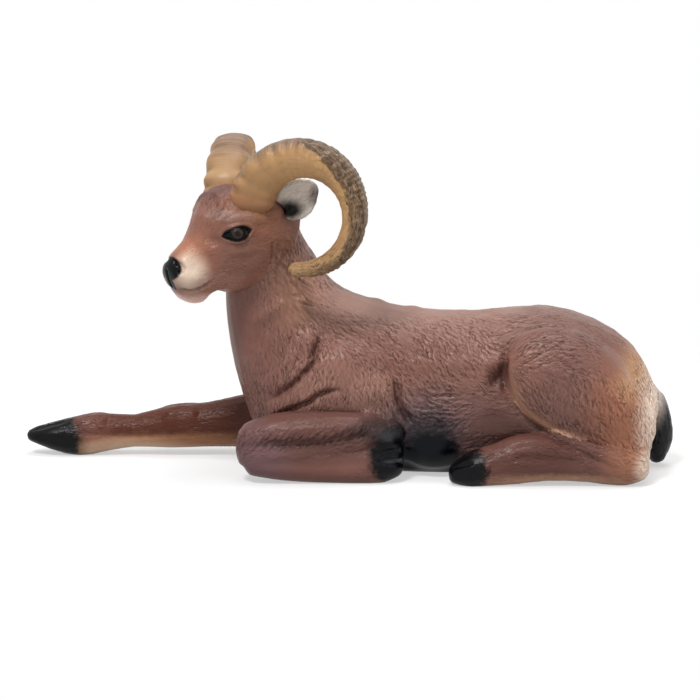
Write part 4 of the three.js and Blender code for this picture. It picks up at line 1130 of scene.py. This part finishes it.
def makeHorn(node, sideSign, seed):
    look, near = hornLook, sideSign > 0
    steps, sides = look["steps"], look["sides"]
    flare, start = math.radians(look["flare"]), math.radians(look["start"])
    # directions in the head's frame
    backward = np.array([-math.cos(flare), math.sin(flare), 0.0])
    outward = np.array([math.sin(flare), math.cos(flare), 0.0])
    upward = np.array([0.0, 0.0, 1.0])
    centre = np.array(look["base"]) - look["curl"] * (backward * math.cos(start) + upward * math.sin(start))
    share = np.linspace(-look["sunk"], 1, steps)
    inside = np.clip(share, 0, 1)
    angle = start - math.radians(look["sweep"]) * share
    spoke = np.cos(angle)[:, None] * backward + np.sin(angle)[:, None] * upward
    spine = centre + spoke * look["curl"] + outward * (look["drift"] * inside ** 2)[:, None]
    half = look["root"] + (look["tip"] - look["root"]) * inside ** 1.45
    half *= 1 - look["waist"] * np.exp(-(((share - 0.6) / 0.2) ** 2))
    half *= 1 - 0.5 * np.clip(-share / look["sunk"], 0, 1) ** 2  # the root closes inside the skull
    turn = np.linspace(0, 2 * math.pi, sides, endpoint=False)
    rise = half[:, None] * (1 - look["keel"] * np.cos(3 * turn))[None, :]
    # uneven growth rings, and finer ones for the worn outer rim
    phase = look["rings"] * inside + 0.5 * np.sin(9 * share + seed) + 0.25 * np.sin(23 * share)
    ring = 0.5 + 0.5 * np.cos(2 * math.pi * phase)
    fineRing = 0.5 + 0.5 * np.cos(2 * math.pi * (2.2 * phase + np.sin(13 * share)))
    # round the section: the two keels beside the front, and the outer rim
    signed = np.where(turn > math.pi, turn - 2 * math.pi, turn)
    keels = np.exp(-(((np.abs(signed) - 0.95) / 0.4) ** 2))
    outer = np.clip(0.5 + 0.6 * np.cos(turn), 0, 1)
    # along the horn: knobbed near the root, rough further out
    later = np.clip((share - 0.24) / 0.2, 0, 1)
    early = 1 - np.clip((share - 0.3) / 0.25, 0, 1)
    shrink = ((0.35 + 0.65 * half / look["root"]) * np.clip(share / 0.03, 0, 1))[:, None]
    amount = (look["knob"] * keels[None, :] * (0.25 + 0.75 * early)[:, None] + look["faceRing"]) * shrink
    fineAmount = look["rimRing"] * outer[None, :] * later[:, None] * shrink
    rise = rise + (ring - 0.5)[:, None] * amount + (fineRing - 0.5)[:, None] * fineAmount
    # dark notches between the rings
    front = np.clip((np.cos(turn) - 0.6) / 0.3, 0, 1) * np.clip((np.sin(turn) + 0.05) / 0.25, 0, 1)
    notch = np.maximum((1 - ring) ** 6, 0.8 * (1 - fineRing) ** 8) * early * np.clip(share / 0.04, 0, 1)
    notch = notch * np.clip(0.6 + 0.6 * np.sin(31 * share + 2 * seed), 0.2, 1)
    notch = notch[:, None] * front[None, :] * (1.0 if near else look["farNotch"])
    if near:
        # the keel nearest the viewer is picked out with a broken dark line
        keelLine = np.exp(-(((signed[None, :] - np.radians(42 - 95 * share)[:, None]) / 0.3) ** 2))
        dashes = np.clip(0.6 + 0.6 * np.sin(290 * share + 5 * np.sin(41 * share)), 0.25, 1)
        dashes = dashes * early * np.clip(share / 0.05, 0, 1)
        notch = np.maximum(notch, keelLine * dashes[:, None])
    rise = rise - 0.1 * notch * shrink
    tipRound = np.sqrt(np.clip(1 - np.clip((share - 0.975) / 0.025, 0, 1) ** 2, 0, 1))
    rise = rise * np.maximum(tipRound, 0.02)[:, None]
    rows = spine[:, None, :] + spoke[:, None, :] * (rise * np.cos(turn))[:, :, None]
    rows = rows + outward * (rise * np.sin(turn))[:, :, None]
    points = rows.reshape(-1, 3)
    grit = ripple(points, 0.45, seed) + 0.7 * ripple(points, 0.22, seed + 9)
    rough = (later[:, None] * (0.2 + 0.8 * outer)[None, :]).ravel()
    out = points - np.repeat(spine, sides, axis=0)
    out /= np.maximum(np.linalg.norm(out, axis=1, keepdims=True), 1e-9)
    points = points + out * (grit * look["grit"] * rough * np.repeat(tipRound, sides))[:, None]
    if not near:
        points[:, 2] -= look["drop"]
    points[:, 1] *= sideSign
    points = fromHead(points)
    index = np.arange(steps * sides).reshape(steps, sides)
    after = np.roll(index, -1, axis=1)
    quads = np.stack([index[:-1], after[:-1], after[1:], index[1:]], 2).reshape(-1, 4)
    mesh = bpy.data.meshes.new(node + "_sculpt")
    mesh.from_pydata((points * mm).tolist(), [], quads.tolist() + [index[0].tolist(), index[-1].tolist()])
    work = bmesh.new()
    work.from_mesh(mesh)
    bmesh.ops.recalc_face_normals(work, faces=work.faces)
    work.to_mesh(mesh)
    work.free()
    finishPiece(newObject(node + "_sculpt", mesh), node, {
        "along": np.repeat(share, sides),
        "edge": np.tile(np.cos(turn), steps),
        "face": np.tile(np.sin(turn), steps),
        "groove": (((1 - ring) ** 5)[:, None] * np.clip(amount / 0.36, 0, 1)).ravel(),
        "ridge": np.clip(grit * 1.5, 0, 1) * rough,
        "grit": np.clip(-grit * 1.8, 0, 1) * rough,
        "crease": np.zeros(len(points)),
        "notch": notch.ravel(),
    }, hornPaint())


def hornPaint():
    made = bpy.data.materials.get("horn paint")
    if made:
        return made
    look = hornLook
    material, tree, shader = newPaint("horn paint", look["varnish"])
    along, edge, face = (marked(tree, name) for name in ("along", "edge", "face"))
    grit, notch = marked(tree, "grit"), marked(tree, "notch")

    def span(value, *limits):
        return ramp(tree, value, *limits)

    def both(a, b, *more):
        # where all masks meet
        for mask in (b, *more):
            a = times(tree, a, mask)
        return a

    # streaks are longer along the horn than across it
    grain = {"X": both(along, 19.0), "Y": both(edge, 3.2), "Z": both(face, 3.2)}
    grain = put(tree, "CombineXYZ", grain).outputs[0]
    blotch = mottle(tree, grain, 0.8, 3.0, 0.6)
    crack = mottle(tree, grain, 1.35, 5.0, 0.75, 1.2)
    lines = put(tree, "TexNoise", {"W": both(along, 75.0), "Detail": 1.0}, noise_dimensions="1D").outputs[0]
    front = span(edge, 0.3, 0.75)
    worn = both(front, span(along, 0.1, 0.18), span(along, 0.6, 0.4))
    wander = math2(tree, "ADD", edge, both(math2(tree, "SUBTRACT", blotch, 0.5), 1.6))
    reach = span(along, 0.26, 0.5, 0.6, -0.2)
    outer = math2(tree, "MULTIPLY", math2(tree, "SUBTRACT", wander, reach), 3.0, clamp=True)
    outer = both(outer, both(span(along, 0.25, 0.31), span(along, 0.95, 0.78, 0.15, 1.0)))
    speckled = math2(tree, "MAXIMUM", outer, both(span(along, 0.58, 0.8), 0.85))
    rim = both(span(edge, 0.84, 0.98), span(along, 0.32, 0.42), span(crack, 0.4, 0.55))
    seam = math2(tree, "SUBTRACT", wander, math2(tree, "ADD", reach, 0.15))
    seam = span(math2(tree, "ABSOLUTE", seam), 0.2, 0.05)
    seam = both(seam, both(span(along, 0.28, 0.34), span(along, 0.75, 0.6)))
    root = math2(tree, "ADD", along, both(blotch, 0.05))
    colour = over(tree, span(along, 0.1, 0.24), paint(look["ochre"]), paint(look["honey"]))
    for name, mask in (
        ("tipOchre", both(span(along, 0.6, 0.8), 0.45)),
        ("grey", both(span(blotch, 0.5, 0.68), 0.3)),
        ("cream", both(front, span(along, 0.17, 0.09), 0.8)),
        ("grey", both(worn, 0.8)),
        ("brown", both(worn, span(lines, 0.54, 0.62), 0.7)),
        ("brown", both(notch, 0.75)),
        ("brown", both(outer, 0.85)),
        ("fleck", both(speckled, span(crack, 0.52, 0.62), 0.7)),
        ("dark", both(speckled, span(crack, 0.47, 0.39), 0.8)),
        ("fleck", both(rim, 0.55)),
        ("dark", both(grit, 0.25)),
        ("dark", both(seam, both(span(crack, 0.4, 0.55), 0.7))),
        ("skin", span(root, 0.095, 0.03)),
    ):
        colour = over(tree, mask, colour, paint(look[name]))
    # dark paint and painted shade in the ring grooves, painted highlight on the raised grit
    colour = washedAndShaded(tree, look, colour)
    varnish = varnished(tree, look)
    height = math2(tree, "ADD", varnish["Height"], both(crack, both(speckled, 3.0)))
    bump = bumped(tree, look["bump"], height)
    wire(tree, shader, {"Base Color": colour, "Roughness": varnish["Roughness"], "Normal": bump})
    return material


# ears: pale cupped leaves with a dark hollow

earLook = {
    "voxel": 0.15, "rounds": 16, "grow": 0.12,
    "comb": dict(gap=0.5, length=0.8, wide=0.1, deep=0.04, sway=12, bend=0.5, lip=0.4, clump=1.2),
    "paint": "e6ddd2", "washShade": "3b2d28", "settledWashShade": 0.35, "dryBrushHighlight": 0.3, "cloudy": 0.2,
    "rough": 0.45, "grain": 6.0, "grainBump": 0.2, "hair": 0.6, "lined": 0.12, "rim": "4c373c",
}


def makeEar(node, s):
    look, clay = dict(earLook), clays[node]
    look["spots"] = [
        headSpot(2.9, 3.2 * s, 5.4, (1.0, 1.4, 1.2), "a57f72", soft=0.6, much=0.7),
        headSpot(2.1, 3.95 * s, 5.6, (1.15, 1.5, 0.95), "080605", soft=0.6, ragged=0.3),
        headSpot(-0.1, 5.5 * s, 7.0, (0.75, 1.2, 1.2), "46303a", soft=0.5, much=0.9, ragged=0.4),
    ]
    local = intoHead(clay["points"])
    rear = np.clip((clay["normals"] @ (-headAxes[0])) * 1.4 - 0.35, 0, 1)
    clay["marks"]["rim"] = rear * np.clip((local[:, 2] - 5.5) / 1.5, 0, 1)
    aims = np.tile(fromHead((-2.0, 2.1 * s, 2.3)) - headPivot, (len(local), 1))
    combFur(clay, look["comb"], aims, np.full(len(local), 0.6), 41)
    putAway(clay, node, coatPaint(node.replace("_", " ") + " paint", look))


# tail: a flat black leaf, grey where it leaves the rump

tailLook = {
    "voxel": 0.2, "rounds": 16, "grow": 0.14,
    "comb": dict(gap=0.5, length=1.1, wide=0.12, deep=0.07, sway=8, bend=0.5, lip=0.4, clump=1.6),
    "paint": "050507", "washShade": "030304", "settledWashShade": 0.4, "dryBrushHighlight": 0.05, "cloudy": 0.2,
    "rough": 0.34, "grain": 5.0, "grainBump": 0.2, "hair": 0.9, "lined": 0.3,
    "spots": [
        dict(at=(31.2, 0, 7.4), size=(1.4, 6, 2.9), soft=0.5, much=0.95, ragged=0.3, paint="c4b6ac"),
    ],
}


def makeTail():
    clay = clays["tail"]
    aims = np.tile((0.1, 0.0, -1.0), (len(clay["points"]), 1))
    combFur(clay, tailLook["comb"], aims, np.full(len(clay["points"]), 0.8), 51)
    putAway(clay, "tail", coatPaint("tail paint", tailLook))


clays = {
    "torso": clayFrom("torso", torsoLook),
    "head": clayFrom("head", headLook),
    "tail": clayFrom("tail", tailLook),
}
clays.update({node: clayFrom(node, legBase) for node in legs})
clays.update({node: clayFrom(node, earLook) for node in ("left_ear", "right_ear")})
print("clay ready:", len(clays), "pieces")

# seams that the animal's skin runs over: pieces, middle, reach, rounds of smoothing
seams = [
    (("torso", "tail"), (31.4, 0, 8.2), (1.6, 3.5, 2.0), 45),
    (("torso", "left_foreleg"), (3.0, -8.0, 6.6), (2.6, 4.0, 1.9), 45),
    (("left_foreleg",), (-4.8, -9.6, 2.6), (10.5, 4.5, 3.4), 45),
    (("left_foreleg",), (4.9, -9.4, 2.6), (2.6, 4.5, 3.2), 30),
    (("torso", "head"), fromHead((-0.3, 0.0, 2.0)), (4.0, 4.6, 4.6), 120),
]
for leg, s in (("left_hind_leg", 1), ("right_hind_leg", -1)):
    seams += [
        (("torso", leg), (28.2, -9.4 * s, 3.2), (5.2, 4.2, 3.2), 45),
        (("torso", "head"), fromHead((3.2, 3.8 * s, -1.4)), (4.2, 3.6, 5.4), 140),
        (("torso",), (25.5, -8.0 * s, 12.5), (6.5, 4.5, 4.5), 45),
        (("torso", leg), (21.4, -9.4 * s, 4.6), (4.2, 3.5, 2.2), 45),
    ]
closeSeams(clays, seams)
makeTorso()
makeHead()
for seed, node in enumerate(legs):
    makeLeg(node, 30 + seed)
makeHorn("left_horn", 1, 3.1)
makeHorn("right_horn", -1, 7.7)
makeEar("left_ear", 1)
makeEar("right_ear", -1)
makeTail()


# studio: white table, white surround, soft lamps from above

# lamps: place, size and power, in metres and watts
studio = {
    "table": 0.6, "surround": 0.42, "lampAim": (0, 0, 0.012),
    "lamps": [
        ("key", (-0.14, -0.28, 0.46), 0.12, 2.0),
        ("top", (0.06, 0.04, 0.55), 0.25, 1.4),
        ("fill", (0.36, -0.34, 0.20), 0.35, 0.4),
    ],
}


def faceTowards(ob, at, aim):
    ob.location = at
    ob.rotation_euler = (Vector(aim) - Vector(at)).to_track_quat("-Z", "Y").to_euler()


def cameraView(tree):
    # camera, mirror and glass rays see the plain white ground
    path = put(tree, "LightPath").outputs
    seen = math2(tree, "MAXIMUM", path["Is Camera Ray"], path["Is Glossy Ray"])
    return math2(tree, "MAXIMUM", seen, path["Is Transmission Ray"])


def makeTable():
    half = studio["table"]
    corners = [(-half, -half, 0), (half, -half, 0), (half, half, 0), (-half, half, 0)]
    mesh = bpy.data.meshes.new("table")
    mesh.from_pydata(corners, [], [(0, 1, 2, 3)])
    table = newObject("table", mesh)
    material = bpy.data.materials.new("table white")
    material.use_nodes = True
    tree = material.node_tree
    tree.nodes.clear()
    seen = cameraView(tree)
    white = put(tree, "BsdfDiffuse", {"Color": over(tree, seen, (0.5, 0.5, 0.5, 1), (0.9, 0.9, 0.9, 1))})
    glow = put(tree, "Emission", {"Color": (1, 1, 1, 1), "Strength": 1.0})
    far = vector(tree, "LENGTH", put(tree, "TexCoord").outputs["Object"])
    fade = ramp(tree, far, 0.03, 0.08, 0.5, interpolation_type="SMOOTHSTEP")
    blend = {0: times(tree, fade, seen), 1: white.outputs[0], 2: glow.outputs[0]}
    put(tree, "OutputMaterial", {"Surface": put(tree, "MixShader", blend).outputs[0]})
    mesh.materials.append(material)


def makeLight():
    world = bpy.data.worlds.new("surround")
    scene.world = world
    world.use_nodes = True
    tree = world.node_tree
    tree.nodes.clear()
    strength = ramp(tree, cameraView(tree), start=studio["surround"])
    light = put(tree, "Background", {"Color": (1, 1, 1, 1), "Strength": strength})
    put(tree, "OutputWorld", {"Surface": light.outputs[0]})
    for name, at, size, power in studio["lamps"]:
        lamp = bpy.data.lights.new(name, "AREA")
        lamp.energy, lamp.size = power, size
        faceTowards(newObject(name, lamp), at, studio["lampAim"])


def makeCamera():
    camera = bpy.data.cameras.new("camera")
    camera.lens, camera.sensor_width, camera.shift_y = stand["lens"], stand["sensor"], stand["shift"]
    camera.clip_start, camera.clip_end = 0.01, 10
    aim, tilt = Vector(stand["aim"]) * mm, math.radians(stand["tilt"])
    scene.camera = newObject("camera", camera)
    faceTowards(scene.camera, aim + stand["away"] * mm * Vector((0, -math.cos(tilt), math.sin(tilt))), aim)


makeTable()
makeLight()
makeCamera()
scene.view_settings.view_transform = "Standard"
print("studio set")
